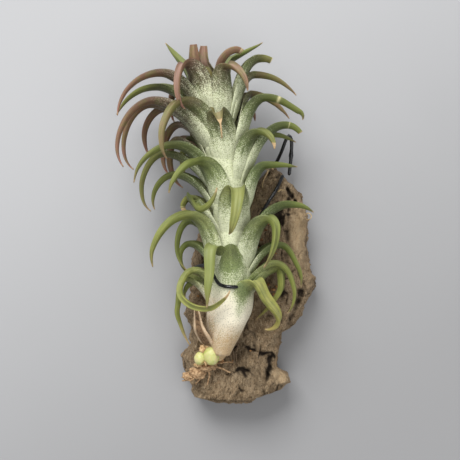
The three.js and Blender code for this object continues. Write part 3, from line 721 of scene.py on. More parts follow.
def add(tree, kind, inputs=None, **settings):
    """Add a node, with its settings and with numbers, colours or other nodes' outputs on its inputs."""
    node = tree.nodes.new(kind)
    for key, value in settings.items():
        setattr(node, key, value)
    for key, value in (inputs or {}).items():
        if isinstance(value, Value):
            tree.links.new(value.socket, node.inputs[key])
        else:
            node.inputs[key].default_value = (*value, 1) if node.inputs[key].type == "RGBA" else value
    return node


def link(value, socket):
    value.socket.id_data.links.new(value.socket, socket)


def tree_of(*values):
    """The node tree that the outputs among the values belong to."""
    return next(value.socket.id_data for value in values if isinstance(value, Value))


def maths(operation, *values, clamp=False):
    settings = {"operation": operation, "use_clamp": clamp}
    return Value(add(tree_of(*values), "ShaderNodeMath", dict(enumerate(values)), **settings).outputs[0])


def remap(value, low, high, to_low=0.0, to_high=1.0):
    """Carry value from one range to another, smoothly and without passing its ends."""
    inputs = {"Value": value, "From Min": low, "From Max": high, "To Min": to_low, "To Max": to_high}
    node = add(tree_of(value), "ShaderNodeMapRange", inputs, interpolation_type="SMOOTHSTEP")
    return Value(node.outputs["Result"])


def blend(share, first, second, way="MIX"):
    """A colour between two, by share."""
    inputs = {0: share, 6: first, 7: second}
    node = add(tree_of(share, first, second), "ShaderNodeMix", inputs, data_type="RGBA", blend_type=way)
    return Value(node.outputs[2])


def shaded(color, shade):
    """A colour made lighter or darker by a number."""
    grey = add(tree_of(color), "ShaderNodeCombineColor", {0: shade, 1: shade, 2: shade}).outputs[0]
    return blend(1.0, color, Value(grey), "MULTIPLY")


def ramp(value, stops):
    """A colour or an amount from a row of them, with value going from 0 to 1."""
    node = add(tree_of(value), "ShaderNodeValToRGB", {"Fac": value})
    band = node.color_ramp
    while len(band.elements) < len(stops):
        band.elements.new(0.5)
    for element, (place, *color) in zip(band.elements, stops):
        element.position = place
        element.color = (*(color if len(color) == 3 else color * 3), 1)
    return Value(node.outputs["Color"])


def grain(vector, scale, detail=2.0, roughness=0.5, distortion=0.0):
    inputs = {"Vector": vector, "Scale": scale, "Detail": detail, "Roughness": roughness}
    node = add(tree_of(vector), "ShaderNodeTexNoise", {**inputs, "Distortion": distortion})
    return Value(node.outputs["Fac"])


def drawn_out(vector, factors, way="MULTIPLY", output="Vector"):
    """A vector with each of its numbers multiplied by its own factor, or the sum of these."""
    node = add(tree_of(vector), "ShaderNodeVectorMath", {0: vector, 1: factors}, operation=way)
    return Value(node.outputs[output])


def read(place, name):
    """A number that the mesh keeps for each point, in the same node tree as place."""
    return Value(add(tree_of(place), "ShaderNodeAttribute", attribute_name=name).outputs["Fac"])


def group_shell(name, inputs, outputs):
    """An empty node group with named inputs (name, kind, value) and outputs."""
    tree = bpy.data.node_groups.new(name, "ShaderNodeTree")
    for label, kind, value in inputs:
        socket = tree.interface.new_socket(label, in_out="INPUT", socket_type=f"NodeSocket{kind}")
        if value is not None:
            socket.default_value = value
    for label in outputs:
        tree.interface.new_socket(label, in_out="OUTPUT", socket_type="NodeSocketFloat")
    given = tree.nodes.new("NodeGroupInput").outputs
    return tree, [Value(given[label]) for label, _, _ in inputs], tree.nodes.new("NodeGroupOutput").inputs


def use_group(group, **inputs):
    """A node group's outputs, with the given values on its inputs."""
    node = add(tree_of(*inputs.values()), "ShaderNodeGroup", inputs, node_tree=group)
    return [Value(socket) for socket in node.outputs]


def scurf_group():
    """Silvery scales in fine dots, Cover saying how much skin they hide, and dark pores between them."""
    inputs = [("Vector", "Vector", None), ("Cover", "Float", 0.5), ("Size", "Float", 0.6)]
    tree, (vector, cover, size), out = group_shell("scurf", inputs, ["Mask", "Pores", "Height"])
    scale = maths("DIVIDE", 1000.0, size)
    dots = grain(vector, scale, 1.0)
    patches = grain(vector, scale * 0.13)
    level = cover * 0.44 + 0.28 - (dots * 0.85 + patches * 0.15)
    mask = remap(level, -0.11, 0.11)
    cells = {"Vector": vector, "Scale": scale * 0.5, "Randomness": 0.8}
    nearest = Value(add(tree, "ShaderNodeTexVoronoi", cells).outputs["Distance"])
    link(mask, out["Mask"])
    link(remap(nearest, 0.42, 0.2), out["Pores"])
    link(mask * 0.5 + dots * 0.5, out["Height"])
    return tree


def line_group():
    """Fine lines along a leaf, from how far across and along it a place is."""
    inputs = [("Across", "Float", 0.0), ("Along", "Float", 0.0), ("Number", "Float", 9.0)]
    tree, (across, along, number), out = group_shell("leaf_lines", inputs, ["Lines", "Streaks"])
    vector = Value(add(tree, "ShaderNodeCombineXYZ", {"X": across * number, "Y": along}).outputs[0])
    link(grain(vector, 1.0, 1.0), out["Lines"])
    link(grain(drawn_out(vector, (0.45, 2.2, 1.0)), 1.0, 2.0, 0.6), out["Streaks"])
    return tree


SCURF = scurf_group()
LEAF_LINES = line_group()


def finish(name, roughness=0.5, **constant):
    """A new material, with constant values on its shader's own sockets, and the place on its piece."""
    material = bpy.data.materials.new(name)
    material.use_nodes = True
    tree = material.node_tree
    for key, value in {"Roughness": roughness, **constant}.items():
        tree.nodes["Principled BSDF"].inputs[key.replace("_", " ")].default_value = value
    return material, Value(add(tree, "ShaderNodeTexCoord").outputs["Object"])


def dressed(material, color, height=None, distance=0.0, strength=1.0, roughness=None):
    """The material with its colour, a bump raised by distance in the plan, and any change of roughness."""
    tree = material.node_tree
    inputs = tree.nodes["Principled BSDF"].inputs
    link(color, inputs["Base Color"])
    if roughness:
        link(roughness, inputs["Roughness"])
    if height:
        bump = {"Height": height, "Distance": distance * MM, "Strength": strength}
        link(Value(add(tree, "ShaderNodeBump", bump).outputs["Normal"]), inputs["Normal"])
    return material


def leaf_finish(name):
    """Living leaf: silver scurf on a skin from pale foot to dark shoulder to green or bronze arm."""
    material, place = finish(name, Sheen_Weight=0.03, Sheen_Roughness=0.5, Specular_IOR_Level=0.25)
    along, across, inside, bronze, yellow = (read(place, label) for label in LEAF_LABELS[:5])
    dried, ring, old, pink, fresh = (read(place, label) for label in LEAF_LABELS[5:])
    half = along * 0.5
    lines, streaks = use_group(LEAF_LINES, Across=across, Along=along, Number=LEAF_LINE_COUNT)
    mottle = grain(place, 260.0, 3.0, 0.55)
    # Skin: green, bronze and yellow, each from foot to tip, and pale inside the channel.
    bronze_share = maths("MULTIPLY", bronze, remap(mottle, 0.25, 0.7, 0.6, 1.25), clamp=True)
    yellow_share = maths("MULTIPLY", yellow, remap(mottle, 0.3, 0.65, 0.5, 1.2), clamp=True)
    skin = blend(bronze_share, ramp(half, GREEN_SKIN), ramp(half, BRONZE_SKIN))
    skin = blend(yellow_share, skin, ramp(half, YELLOW_SKIN))
    skin = shaded(skin, remap(streaks, 0.2, 0.8, 0.7, 1.3))
    inner = inside * remap(along, 1.1, 1.9, 0.85, 0.3) * remap(1.0 - abs(across), 0.05, 0.55, 0.3, 1.0)
    pale = blend(bronze_share, blend(yellow_share, PALE_GREEN, PALE_YELLOW), PALE_BRONZE)
    skin = blend(inner, skin, pale)
    skin = blend(old * remap(mottle, 0.3, 0.6, 0.7, 1.0), skin, blend(pink, AGED_CREAM, AGED_PINK))
    skin = blend(fresh * 0.85, skin, FRESH_GREEN)
    # Scurf: thick on the sheath, thin and dotted on the shoulder, faint on the arm, thicker at the margins.
    cover = blend(bronze_share, ramp(half, SCURF_COVER), ramp(half, BRONZE_COVER))
    cover = cover + maths("POWER", abs(across), 2.0) * 0.12 + remap(streaks, 0.2, 0.8, -0.15, 0.15)
    cover = maths("SUBTRACT", old * 0.25 + cover - pink * 0.55, fresh * 0.55, clamp=True)
    mask, pores, scales = use_group(SCURF, Vector=place, Cover=cover, Size=SCALE_SIZE)
    bright, dull = blend(grain(place, 700.0), *SILVER), blend(bronze_share, *DULL_SILVER)
    silver = blend(remap(along, 0.5, 1.0), bright, dull)
    silver = blend(old * 0.7, silver, AGED_SILVER)
    thin = mask * remap(along, 0.8, 1.3, 0.85, 0.2)
    color = blend(thin, skin, silver)
    # Dark pores show most where the scurf thins out.
    zone = remap(along, 0.1, 0.55, 0.3, 1.0) * remap(along, 1.1, 0.9)
    color = blend(pores * (zone * 0.6), color, PORE)
    # The cut ends, the very tips and the neck at the foot are dried: tan, with brown specks.
    straw = blend(grain(place, 900.0, 3.0, 0.6), *STRAW)
    straw = blend(remap(grain(place, 1300.0, 2.0, 0.6), 0.6, 0.7, 0.0, 0.7), straw, STRAW_SPECK)
    color = blend(maths("MULTIPLY", dried, remap(mottle, 0.2, 0.6, 0.7, 1.2), clamp=True), color, straw)
    flecks = remap(grain(place, 1700.0, 4.0, 0.75), 0.55, 0.66, 0.0, 0.6)
    color = blend(ring * 0.85, blend(flecks * pink, color, NECK_FLECK), PALE_RING)
    height = scales * 0.5 + lines * 0.7
    return dressed(material, color, height, 0.14, 0.8, remap(thin, 0.0, 1.0, 0.46, 0.85))


def bark_finish():
    """Cork bark: grey-brown and grained, paler on its worn faces, and nearly black with painted shade in its
    cracks and hollows.
    """
    material, place = finish("cork_bark", 0.92, Specular_IOR_Level=0.2)
    crack_shade_and_layers, worn, side, shade = (read(place, label) for label in ("crack_shade_and_layers", "worn", "side", "shade"))
    fibres = grain(drawn_out(place, (1.0, 0.3, 1.0)), 1250.0, 3.0, 0.62, 0.5)
    grit = grain(place, 1500.0, 3.0, 0.7)
    flecks = grain(place, 520.0, 3.0, 0.65)
    dark = 1.0 - worn * 0.6
    # The sides show the cork's yearly layers.
    years = grain(drawn_out(place, (0.1, 0.1, 1.0)), 520.0, 3.0, 0.6, 0.3)
    base = ramp(grain(place, 95.0, 4.0, 0.6), BARK_PATCHES)
    for share, color in (
        (worn, (0.41, 0.295, 0.17)),
        (remap(fibres, 0.5, 0.68, 0.0, 0.6), (0.40, 0.315, 0.20)),
        (remap(flecks, 0.56, 0.66, 0.0, 0.45), (0.35, 0.235, 0.13)),
        (remap(grit, 0.56, 0.68, 0.0, 0.6), (0.46, 0.37, 0.245)),
        (remap(fibres, 0.46, 0.32, 0.0, 0.75) * dark, (0.06, 0.037, 0.02)),
        (remap(grit, 0.44, 0.34, 0.0, 0.75) * dark, (0.035, 0.022, 0.013)),
        (side * remap(years, 0.48, 0.62, 0.0, 0.6), (0.40, 0.275, 0.16)),
        (side * remap(years, 0.46, 0.36, 0.0, 0.8), (0.055, 0.034, 0.02)),
    ):
        base = blend(share, base, color)
    # Painted shade: nearly black down the front's cracks, seams and hollows, and darker over the shade
    # patches. On the sides the same mask gives dark layers.
    color = blend(remap(crack_shade_and_layers, 0.15, 0.9, 0.0, 0.95), shaded(base, 1.07 - shade), BARK_CRACK_SHADE)
    return dressed(material, color, fibres * 0.55 + grit * 0.45, 1.3)


def wire_finish():
    """Black plastic coat: glossy, with a faint unevenness."""
    constant = {"Coat_Weight": 0.2, "Coat_Roughness": 0.15, "Specular_IOR_Level": 0.4}
    material, place = finish("black_wire", 0.3, **constant)
    scuffs = grain(place, 1500.0, 3.0, 0.6)
    color = blend(remap(scuffs, 0.5, 0.8), (0.003, 0.003, 0.0035), (0.014, 0.014, 0.015))
    return dressed(material, color, grain(place, 420.0), 0.06, 0.6, remap(scuffs, 0.3, 0.8, 0.2, 0.36))


def bud_finish():
    """Buds: waxy pale yellow-green, browner in patches."""
    glow = {"Subsurface_Weight": 0.3, "Subsurface_Scale": 0.002, "Subsurface_Radius": (1.0, 0.9, 0.3)}
    material, place = finish("pale_bud", 0.42, **glow)
    rusty = maths("MULTIPLY", read(place, "dried"), remap(grain(place, 900.0, 3.0), 0.35, 0.6), clamp=True)
    color = blend(rusty, ramp(grain(place, 330.0), BUD_SKIN), BUD_RUST)
    return dressed(material, color, grain(place, 800.0), 0.1, 0.5)


def dry_finish(name, dark, light):
    """Dead, dry tissue: streaks between a dark and a light colour."""
    material, place = finish(name, 0.85, Specular_IOR_Level=0.25)
    streaks = grain(place, 900.0, 4.0, 0.65, 0.5)
    return dressed(material, blend(remap(streaks, 0.3, 0.68), dark, light), streaks, 0.35, 0.9)


def sheath_finish():
    """The dried leaf: dark brown along its hollow middle, its own brown with painted shade of the hollow,
    and cream at its margins.
    """
    material, place = finish("dry_leaf", 0.85, Specular_IOR_Level=0.25)
    streaks = grain(place, 900.0, 4.0, 0.65, 0.5)
    edge = remap(abs(read(place, "across")), 0.4, 0.72)
    edge = maths("MAXIMUM", edge, remap(read(place, "along"), 0.3, 0.12))
    # Dark brown down the hollow: partly the leaf's own brown, partly painted shade.
    color = blend(edge, (0.075, 0.042, 0.022), (0.66, 0.50, 0.33))
    color = blend(remap(streaks, 0.35, 0.65, 0.0, 0.55), color, (0.34, 0.21, 0.11))
    return dressed(material, color, streaks, 0.35, 0.9)


# Leaves

LEAF_BLANK = slab_blank("leaf_blank", LEAF_STRIPS, LEAF_RINGS, 2)


def leaf_rows(blank):
    """Each point of the blank: how far across, which ring, and how far out, with the rings' stations."""
    places = np.round(coordinates(blank.data), 5)
    share = (places[:, 1] + 1) / 2
    rings, ring_of = np.unique(np.round(share, 5), return_inverse=True)
    stations = np.where(rings < FOOT_SHARE, rings / FOOT_SHARE, 1 + (rings - FOOT_SHARE) / (1 - FOOT_SHARE))
    return places[:, 0], ring_of, places[:, 2], stations


ACROSS, RING_OF, OUTER, STATIONS = leaf_rows(LEAF_BLANK)


def past(values, start, reach):
    """From 0 at start to 1 at start + reach, and no further."""
    return np.clip((values - start) / reach, 0, 1)


def fresh_share(places):
    """How much of the green patch on the lowest sheath a place has."""
    x, y = places[:, 0], places[:, 1]
    down = past(y, FRESH_FROM[1], FRESH_TO[1] - FRESH_FROM[1])
    middle = FRESH_FROM[0] + (FRESH_TO[0] - FRESH_FROM[0]) * down
    width = FRESH_WIDTH * (1.05 - down)
    ends = past(y, FRESH_TO[1], 6) * past(y, *LOWEST_SHEATH)
    patch = np.exp(-(((x - middle) / width) ** 2)) * ends * (1 - 0.6 * down)
    side, rise, width, height = OLIVE
    return np.maximum(patch, 0.65 * np.exp(-(((x - side) / width) ** 4) - ((y - rise) / height) ** 4))


def old_share(places):
    """How much of the cream of the oldest sheaths a place has: by its height, less on the green patch."""
    return past(places[:, 1], *CREAM) * (1 - fresh_share(places))


def pink_share(places):
    """How pinkish tan an old sheath is: most at the left, and all round the neck."""
    x, y = places[:, 0], places[:, 1]
    left = np.clip((5.5 - x + 0.3 * (y + 40)) / 5, 0, 1) * past(y, *TAN_LEFT)
    return np.clip(0.75 * left + past(y, *TAN_NECK), 0, 1)


def dry_share(places):
    """How dry the foot of the lowest sheaths is at a place."""
    return past(places[:, 1], *DRY_NECK) * DRY_NECK_MOST


def give_leaf(mesh, *values):
    """Keep a number for each of LEAF_LABELS, at each point of a leaf or of the stem."""
    for label, value in zip(LEAF_LABELS, values):
        give(mesh, label, np.full(len(mesh.vertices), value))


def bent_leaf(name, leaf, seed, domed=False):
    """A copy of the flat leaf, rolled into a channel, or a filled dome, and bent along its own line."""
    foot, size, taper, tint, points = leaf
    bronze, yellow, dry_from, ring, spread = (*tint, *USUAL_ENDS[len(tint) - 2 :])
    pieces, outward = leaf_line(foot, points)
    across = Vector((0, 1, 0)).cross(outward)
    middles, sides, inwards, radii, rolls, keels = [], [], [], [], [], []
    for station in STATIONS:
        point, along = on_line(pieces, min(station, 2))
        across = (across - along * across.dot(along)).normalized()
        row = 1 + (station - 1) * taper if station > 1 else station
        radius = size * value_at(LEAF_RADIUS, row)
        if station > SPREAD_FROM:
            full = min((station - SPREAD_FROM) / SPREAD_OVER, 1, max(0, 2 - station) / SPREAD_OVER)
            radius *= 1 + (spread - 1) * full
        if domed:
            below = min(max((pieces[-1][2][3].y - point.y) / DOMED_ROUND, 0.004), 1)
            domed_roll = DOMED_ROLL[0] + (DOMED_ROLL[1] - DOMED_ROLL[0]) * below
            radius = size * DOMED_HALF_WIDTH * math.sqrt(1 - (1 - below) ** 2.2) / math.sin(domed_roll)
            radius *= 1 - DOMED_FOOT * max(0, 1 - station / DOMED_FULL)
        if station <= 1:
            radius = soft_least(radius, smooth_at(NECK, (point.y - FOOT_Y) / NECK_STEP + 1))
        roll = domed_roll if domed else min(size * value_at(LEAF_HALF_WIDTH, row) / radius, LEAF_MOST_ROLL)
        loose = limited(station - 0.9) * (1 if station < 1.97 else 0.6)
        sway = wobble(point, ARM_WANDER_LENGTH, seed) * (ARM_WANDER * loose)
        middles.append(point + sway)
        sides.append(across.copy())
        inwards.append(along.cross(across))
        radii.append(radius)
        rolls.append(roll)
        keel = size * value_at(LEAF_THICKNESS, row) * (2 * spread - 1)
        keels.append(min(keel, 0.85 * radius * (1 - math.cos(roll)) + 0.3))
    middles, sides, inwards = (np.array(rows) for rows in (middles, sides, inwards))
    radii, rolls, keels = (np.array(rows)[RING_OF] for rows in (radii, rolls, keels))
    edges = np.minimum(LEAF_EDGE, keels)
    thickness = edges + (keels - edges) * (1 - np.abs(ACROSS) ** 2)
    turn = ACROSS * rolls
    reach = radii - (1 - OUTER) * thickness
    rim = (np.abs(ACROSS) > 0.999) & (np.abs(OUTER - 0.5) < 0.01)
    bulge = np.where(rim, 0.5 * edges * np.sign(ACROSS), 0)
    sideways = reach * np.sin(turn) + bulge * np.cos(turn)
    below = reach * np.cos(turn) - bulge * np.sin(turn) - radii * np.cos(rolls)
    if domed:
        depth = radii * (1 - np.cos(rolls))
        skin = radii * (np.cos(turn) - np.cos(rolls))
        crown = -DOME * depth * np.sqrt(1 - 0.98 * ACROSS**2)
        sideways = radii * np.sin(turn) + bulge
        below = crown + (skin - crown) * OUTER
    places = middles[RING_OF] + sides[RING_OF] * sideways[:, None] - inwards[RING_OF] * below[:, None]
    mesh = LEAF_BLANK.data.copy()
    put(mesh, places)
    along = STATIONS[RING_OF]
    # The tip dries first, and so does the foot of the lowest leaves.
    usual = taper >= LITTLE_TAPER and dry_from >= 1.9
    dry_tip = past(along, dry_from, TIP_DRIES_OVER) * (USUAL_TIP_DRYNESS if usual else 1)
    dried = np.maximum(dry_tip, dry_share(places))
    pale = np.exp(-(((along - ring) / RING_REACH) ** 2))
    sheath = past(along, *SHEATH_END)
    whole = 1 if domed else sheath
    if domed:
        high = (places[:, 1] - places[:, 1].max()) / 27
        shown = 1.0 + high - 0.2 * past(places[:, 1], *LOWEST_SHEATH) - 0.25 * ACROSS**2
        labels = (np.clip(shown, 0.3, 0.9), ACROSS * 0.5, 0)
    else:
        shown = np.minimum(along, LITTLE_TAPER_END if taper < LITTLE_TAPER else 2)
        labels = (shown, ACROSS, 1 - OUTER)
    ages = (old_share(places) * whole, pink_share(places) * sheath, fresh_share(places) * whole)
    give_leaf(mesh, *labels, bronze, yellow, dried, pale, *ages)
    return placed(name, mesh)


def stem_piece(name, start, end):
    """A stretch of the stem: a cylinder cut into rings that follow the stem's line and girth."""
    deselect()
    rings = max(4, round(STEM_RINGS * (end - start) / STEM_TOP))
    bpy.ops.mesh.primitive_cylinder_add(vertices=STEM_SIDES, radius=1, depth=2, end_fill_type="TRIFAN")
    stem = bpy.context.object
    stem.name = name
    cut_upright(stem, rings - 1)
    places = []
    for x, y, z in coordinates(stem.data):
        height = start + (end - start) * (1 - z) / 2
        radius = smooth_at(STEM_RADIUS, height / STEM_STEP)
        middle = stem_point(height)
        spread = 1 + STEM_UNEVEN * noise_at(x * 1.5, height / 6, z)
        places.append((middle.x + x * radius * spread, middle.y, middle.z + y * radius * spread))
    places = np.array(places)
    put(stem.data, places)
    along, bronze = (1.1, 0.6) if start > 0 else (0.3, 0)
    ages = (old_share(places), pink_share(places), fresh_share(places))
    give_leaf(stem.data, along, 0, 0, bronze, 0.2, dry_share(places), 0, *ages)
    face_outward(stem)
    return stem


def open_hollow(obj):
    """Widen the dried leaf, sink its front's middle, and keep how far across its front each place is."""
    places = coordinates(obj.data) / MM - MIDDLE
    shares = np.zeros(len(places))
    for ring in np.unique(RING_OF):
        own = RING_OF == ring
        x, z = places[own, 0], places[own, 2]
        middle, half = (x.min() + x.max()) / 2, max((x.max() - x.min()) / 2, 0.1)
        share = (x - middle) / half
        front = np.clip((z - z.mean()) / 0.5, 0, 1)
        places[own, 0] = middle + share * half * HOLLOW_SPREAD
        places[own, 2] = z - HOLLOW_DEPTH * front * np.exp(-((share / 0.5) ** 2))
        shares[own] = share
    put(obj.data, places)
    give(obj.data, "across", shares)


def stem_end_piece():
    """The stem's blunt end, dried like the sheaths round it."""
    end = lump("stem_end", *STEM_END, 4, 0.1, 2.0)
    give_leaf(end.data, 0.3, 0, 0, 0, 0.2, 0.8, 0, 1, 1, 0)
    return end


all_leaves = LEAVES + back_leaves()
green_parts = [stem_piece("stem_foot", 0, CROWN_FOOT)]
crown_parts = [stem_piece("stem_top", CROWN_FOOT, STEM_TOP)]
for number, leaf in enumerate(all_leaves):
    made = bent_leaf(f"leaf_{number}", leaf, number * 1.37)
    (crown_parts if leaf[0] > CROWN_FOOT else green_parts).append(made)
for number, leaf in enumerate(DOMED_LEAVES):
    green_parts.append(bent_leaf(f"domed_leaf_{number}", leaf, 50 + number, domed=True))
green_parts.append(stem_end_piece())
green_leaves = joined(green_parts, "green_leaves")
crown = joined(crown_parts, "bronze_crown")
dry_leaf = joined([bent_leaf("dry_sheath", DRY_LEAF, 77.0)], "dry_sheath")
open_hollow(dry_leaf)
bpy.data.objects.remove(LEAF_BLANK)


# Bark


def patch_at(patches, x, y):
    """The most that any of the patches (centre, reach, amount) has at a place."""
    return max(most * math.exp(-(((x - u) / w) ** 2) - ((y - v) / h) ** 2) for u, v, w, h, most in patches)


def crack_depth(x, y, crack):
    """How deep a crack is at a place."""
    start, end, depth, width = crack
    line = (end[0] - start[0], end[1] - start[1])
    t = limited(((x - start[0]) * line[0] + (y - start[1]) * line[1]) / (line[0] ** 2 + line[1] ** 2))
    jog = 0.9 * noise_at(x / 3, y / 3, 7.7) + 0.5 * noise_at(x / 1.1, y / 1.3, 3.1)
    away = math.hypot(x - start[0] - t * line[0], y - start[1] - t * line[1]) + jog
    return depth * (0.85 + 0.6 * noise_at(x / 4, y / 4, 5.5)) * math.exp(-((away / width) ** 2))


def bark_relief(x, y):
    """The front's height at a place, how much painted shade its cracks, seams and low hollows give it, and
    how worn it is.
    """
    arch = BARK_ARCH * ((x - BARK_MIDDLE_X) / BARK_HALF_WIDTH) ** 2
    ridges = math.sin(0.42 * x + 0.9 * math.sin(0.13 * y)) * math.cos(0.19 * y + 0.6 * math.sin(0.3 * x))
    pits = math.sin(0.83 * x + 1.7) * math.sin(0.61 * y + 0.4)
    crack = max(crack_depth(x, y, c) for c in BARK_CRACKS)
    warp = drift(Vector((x / 7, y / 11, 1.9)))
    plates = noise.voronoi(Vector((x / 11 + 0.5 * warp.x, y / 19 + 0.4 * warp.y, 4.2)))[0]
    patchy = limited(0.45 + 1.6 * noise_at(x / 8, y / 8, 6.1))
    seam = patchy * math.exp(-(((plates[1] - plates[0]) / SEAM_WIDTH) ** 2))
    furrowed = Vector((x / 3.6 + 0.4 * warp.y, y / 10, 8.8))
    furrow = noise.ridged_multi_fractal(furrowed, 1.0, 2.1, 4, 0.9, 2.0)
    crumb = rough_at(x / 1.2, y / 1.7, 3.3)
    knobs = noise_at(x / 4.2, y / 5.6, 2.2)
    worn = patch_at(BARK_WORN, x, y)
    rough = 1 - 0.65 * worn
    cut = BARK_SEAM * seam * rough
    height = BARK_THICKNESS - arch + BARK_RIDGE * ridges + BARK_PIT * pits - crack - cut
    height += rough * (BARK_FURROW * (furrow - 1.2) + BARK_CRUMB * crumb + BARK_KNOB * knobs)
    # Painted shade: the cracks, the seams and the low places of the relief are darkened.
    low = 0.5 * max(0, 0.85 - furrow) + 0.5 * max(0, -crumb - 0.25)
    hollow_shade = min(1, crack / 4.2 + 0.8 * seam * rough + low * rough)
    return height, hollow_shade, worn


def wire_distance(x, y):
    """Distance from a place behind the slab to the wire's line there."""
    points = WIRE_PATH[GROOVE_FROM : GROOVE_TO + 1]
    nearest = 99.0
    for (x0, y0, _), (x1, y1, _) in zip(points, points[1:]):
        span = ((x1 - x0) ** 2 + (y1 - y0) ** 2) or 1.0
        t = limited(((x - x0) * (x1 - x0) + (y - y0) * (y1 - y0)) / span)
        nearest = min(nearest, math.hypot(x - x0 - t * (x1 - x0), y - y0 - t * (y1 - y0)))
    return nearest


def bark_piece():
    """The slab: a flat block whose rows take the bark's outline, with its relief raised from the front."""
    bark = slab_blank("cork_bark_slab", BARK_COLUMNS, BARK_LINES, BARK_LEVELS)
    row_y, lefts, rights = zip(*BARK_ROWS)
    places, kept = [], []
    for x, y, z in np.round(coordinates(bark.data), 5).tolist():
        u, v = (x + 1) / 2, (y + 1) / 2
        line = row_y[0] + (row_y[-1] - row_y[0]) * v
        left = float(np.interp(line, row_y, lefts))
        right = float(np.interp(line, row_y, rights))
        inset = min(value_at(BARK_SIDE, z), 0.2 * (right - left))
        ledge = BARK_LEDGE * noise_at(line / 14, z * 7, 2.7)
        left += inset + BARK_RAGGED * rough_at(line / 3, z * 2.2, 0.7) - ledge
        right -= inset - BARK_RAGGED * rough_at(line / 3, z * 2.2, 9.7) - ledge
        px = left + (right - left) * u
        end = min(v, 1 - v) * (row_y[-1] - row_y[0])
        ragged_end = rough_at(px / 3, z * 2.2, 4.1) + BARK_LEDGE * noise_at(px / 14, z * 7, 3.3)
        py = line + (math.exp(-end / 2) * (min(inset, 1.4) + ragged_end) * (1 if v < 0.5 else -1))
        rim = min(px - left, right - px, end)
        height, hollow_shade, worn = bark_relief(px, py)
        height *= 1 - (1 - BARK_RIM) * math.exp(-((rim / BARK_RIM_REACH) ** 2))
        pz = z * height
        if z < 0.001:
            pz = GROOVE_DEPTH * limited(GROOVE_REACH - wire_distance(px, py))
        places.append((px, py, pz))
        # Darker patches; the one beside the neck is painted shade of the hollow there.
        shade = patch_at(BARK_SHADES, px, py)
        # Sides: dark layers. Front: painted shade in cracks and hollows, and wear.
        if z < BARK_FRONT_FROM:
            layer = 0.45 + 0.5 * rough_at(line / 3, px / 3, z * 9, 0.8, 3)
            kept.append((limited(layer) * 0.55, 0, shade, min(1, 3 * z + 0.2)))
        else:
            kept.append((hollow_shade, worn, shade, 0))
    put(bark.data, places)
    for label, values in zip(("crack_shade_and_layers", "worn", "shade", "side"), zip(*kept)):
        give(bark.data, label, values)
    smooth(bark)
    return bark


bark = bark_piece()


# Wire


def wire_piece():
    """The coated wire, with round ends and a small collar near the end of its hook."""
    path = smooth_path(WIRE_PATH, WIRE_STATIONS)
    radii = [WIRE_RADIUS * (1 + 0.03 * noise.noise(p / 4)) for p in path]
    collar = round(COLLAR_AT / (path[1] - path[0]).length)
    radii[collar - 1 : collar + 2] = [WIRE_RADIUS * grow for grow in COLLAR]
    for end, inner in ((0, 1), (-1, -2)):
        tip = path[end]
        direction = (tip - path[inner]).normalized()
        for reach, share in WIRE_CAP:
            at = 0 if end == 0 else len(path)
            path.insert(at, tip + direction * (WIRE_RADIUS * reach))
            radii.insert(at, WIRE_RADIUS * share)
    wire = tube("coated_wire", path, radii, 16)
    smooth(wire)
    return wire


wire = wire_piece()


# Buds and roots


def crumb_place(x, y, size):
    """A crumb's centre, on the slab's front, and half of its size."""
    return (x, y, bark_relief(x, y)[0] + 0.3 * size), (size, 0.75 * size, 0.6 * size)


buds = lumps("bud", BUDS, 4, 0.07, 0, 3.0)
for bud in buds:
    x, y, _ = (coordinates(bud.data) / MM - MIDDLE).T
    u, v, w, h = BUD_RUST_SPOT
    rust = np.exp(-(((x - u) / w) ** 2) - (((y - v) / h) ** 2))
    give(bud.data, "dried", np.clip(rust + (y < BUD_RUST_BELOW) * 0.6, 0, 1))
bud_pair = joined(buds, "pale_buds")

crusts = lumps("crust", ROOT_LUMPS, 4, 0.45, 11.0, 1)
roots = strands("root", ROOTS, ROOT_RADIUS, 22, 0.45, 2.5, 0.4, uneven=0.3)
root_tuft = joined(crusts + roots, "root_crust")

# Brown crumbs caught on the bark, and rust-brown scraps of old sheath round the buds.
crumb_lumps = lumps("crumb", [crumb_place(*crumb) for crumb in CRUMBS], 3, 0.6, 0, 4.3)
crumbs = joined(crumb_lumps + lumps("scrap", SCRAPS, 3, 0.7, 60, 3.1), "brown_crumbs")
# Tan remains of old sheath and leaf, between the buds and round them, and thin dry fibres.
tissue = joined(lumps("tissue", TISSUE, 4, 0.5, 80, 2.7), "tan_tissue")
tan_fibres = joined(strands("tan_fibres", TAN_FIBRES, TAN_FIBRE_RADIUS, *FIBRES), "tan_fibres")
dark_roots = joined(strands("dark_roots", DARK_ROOTS, DARK_ROOT_RADIUS, *FIBRES), "dark_roots")


# Finishes and places

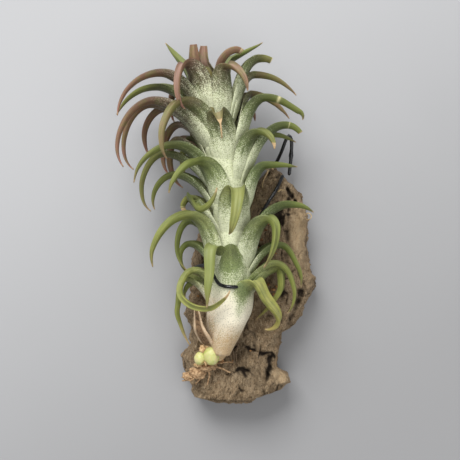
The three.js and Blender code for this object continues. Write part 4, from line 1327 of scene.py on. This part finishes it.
FINISHED = [
    (green_leaves, leaf_finish("green_leaf"), "leafy_stem", "green_leaf"),
    (crown, leaf_finish("bronze_leaf"), "crown_leaves", "bronze_leaf"),
    (dry_leaf, sheath_finish(), "dry_leaf", "dry_leaf"),
    (bud_pair, bud_finish(), "basal_buds", "pale_bud"),
    (root_tuft, dry_finish("brown_root", *ROOT_COLORS), "root_tuft", "brown_root"),
    (bark, bark_finish(), "cork_bark", "cork_bark"),
    (wire, wire_finish(), "wire_tie", "black_wire"),
    (crumbs, dry_finish("rust_crumbs", *CRUMB_COLORS), None, "brown_root"),
    (tissue, dry_finish("tan_tissue", *TISSUE_COLORS), None, "brown_root"),
    (tan_fibres, dry_finish("tan_fibre", *FIBRE_COLORS), None, "brown_root"),
    (dark_roots, dry_finish("dark_root", *DARK_ROOT_COLORS), None, "brown_root"),
]
for piece, material, node, slot in FINISHED:
    piece.data.materials.clear()
    piece.data.materials.append(material)
    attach(piece, "root")
    if node:
        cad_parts[node].data.materials.clear()
        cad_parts[node].data.materials.append(material)
        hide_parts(node)


# Floor, light and camera


def floor_piece():
    deselect()
    bpy.ops.mesh.primitive_plane_add(size=6, location=(0, 0, 0))
    floor = bpy.context.object
    floor.name = "floor"
    material, place = finish("pale_floor", 0.9, Specular_IOR_Level=0.1)
    # Painted shade: a little darker towards the foot and the right, where the light falls off.
    slope = drawn_out(place, (-1.4, 2.2, 0.0), "DOT_PRODUCT", "Value")
    shade = remap(grain(place, 12.0) * 0.08 + slope, -0.36, 0.36)
    floor.data.materials.append(dressed(material, blend(shade, *FLOOR_SHADE_COLORS)))


def area_light(name, place, aim, size, power):
    light = bpy.data.lights.new(name, "AREA")
    light.shape = "SQUARE"
    light.size = size
    light.energy = power
    obj = placed(name, light)
    obj.location = place
    obj.rotation_euler = (Vector(aim) - Vector(place)).to_track_quat("-Z", "Y").to_euler()


floor_piece()
area_light("key_light", (-0.3, 0.8, 0.95), (0, 0.05, 0.03), 0.75, 20)
area_light("fill_light", (0.4, -0.3, 1.1), (0, 0, 0.03), 0.9, 4)
world = bpy.data.worlds.new("soft_studio")
world.use_nodes = True
background = world.node_tree.nodes["Background"].inputs
background["Color"].default_value = (*SKY_COLOR, 1)
background["Strength"].default_value = SKY_STRENGTH
bpy.context.scene.world = world
bpy.context.scene.view_settings.view_transform = "Standard"

camera = bpy.data.cameras.new("view_from_the_front")
camera.lens = CAMERA_LENS
camera.sensor_width = 36
camera.clip_start = 0.01
camera_object = placed("view_from_the_front", camera)
camera_object.location = [value * MM for value in CAMERA_AT]
bpy.context.scene.camera = camera_object
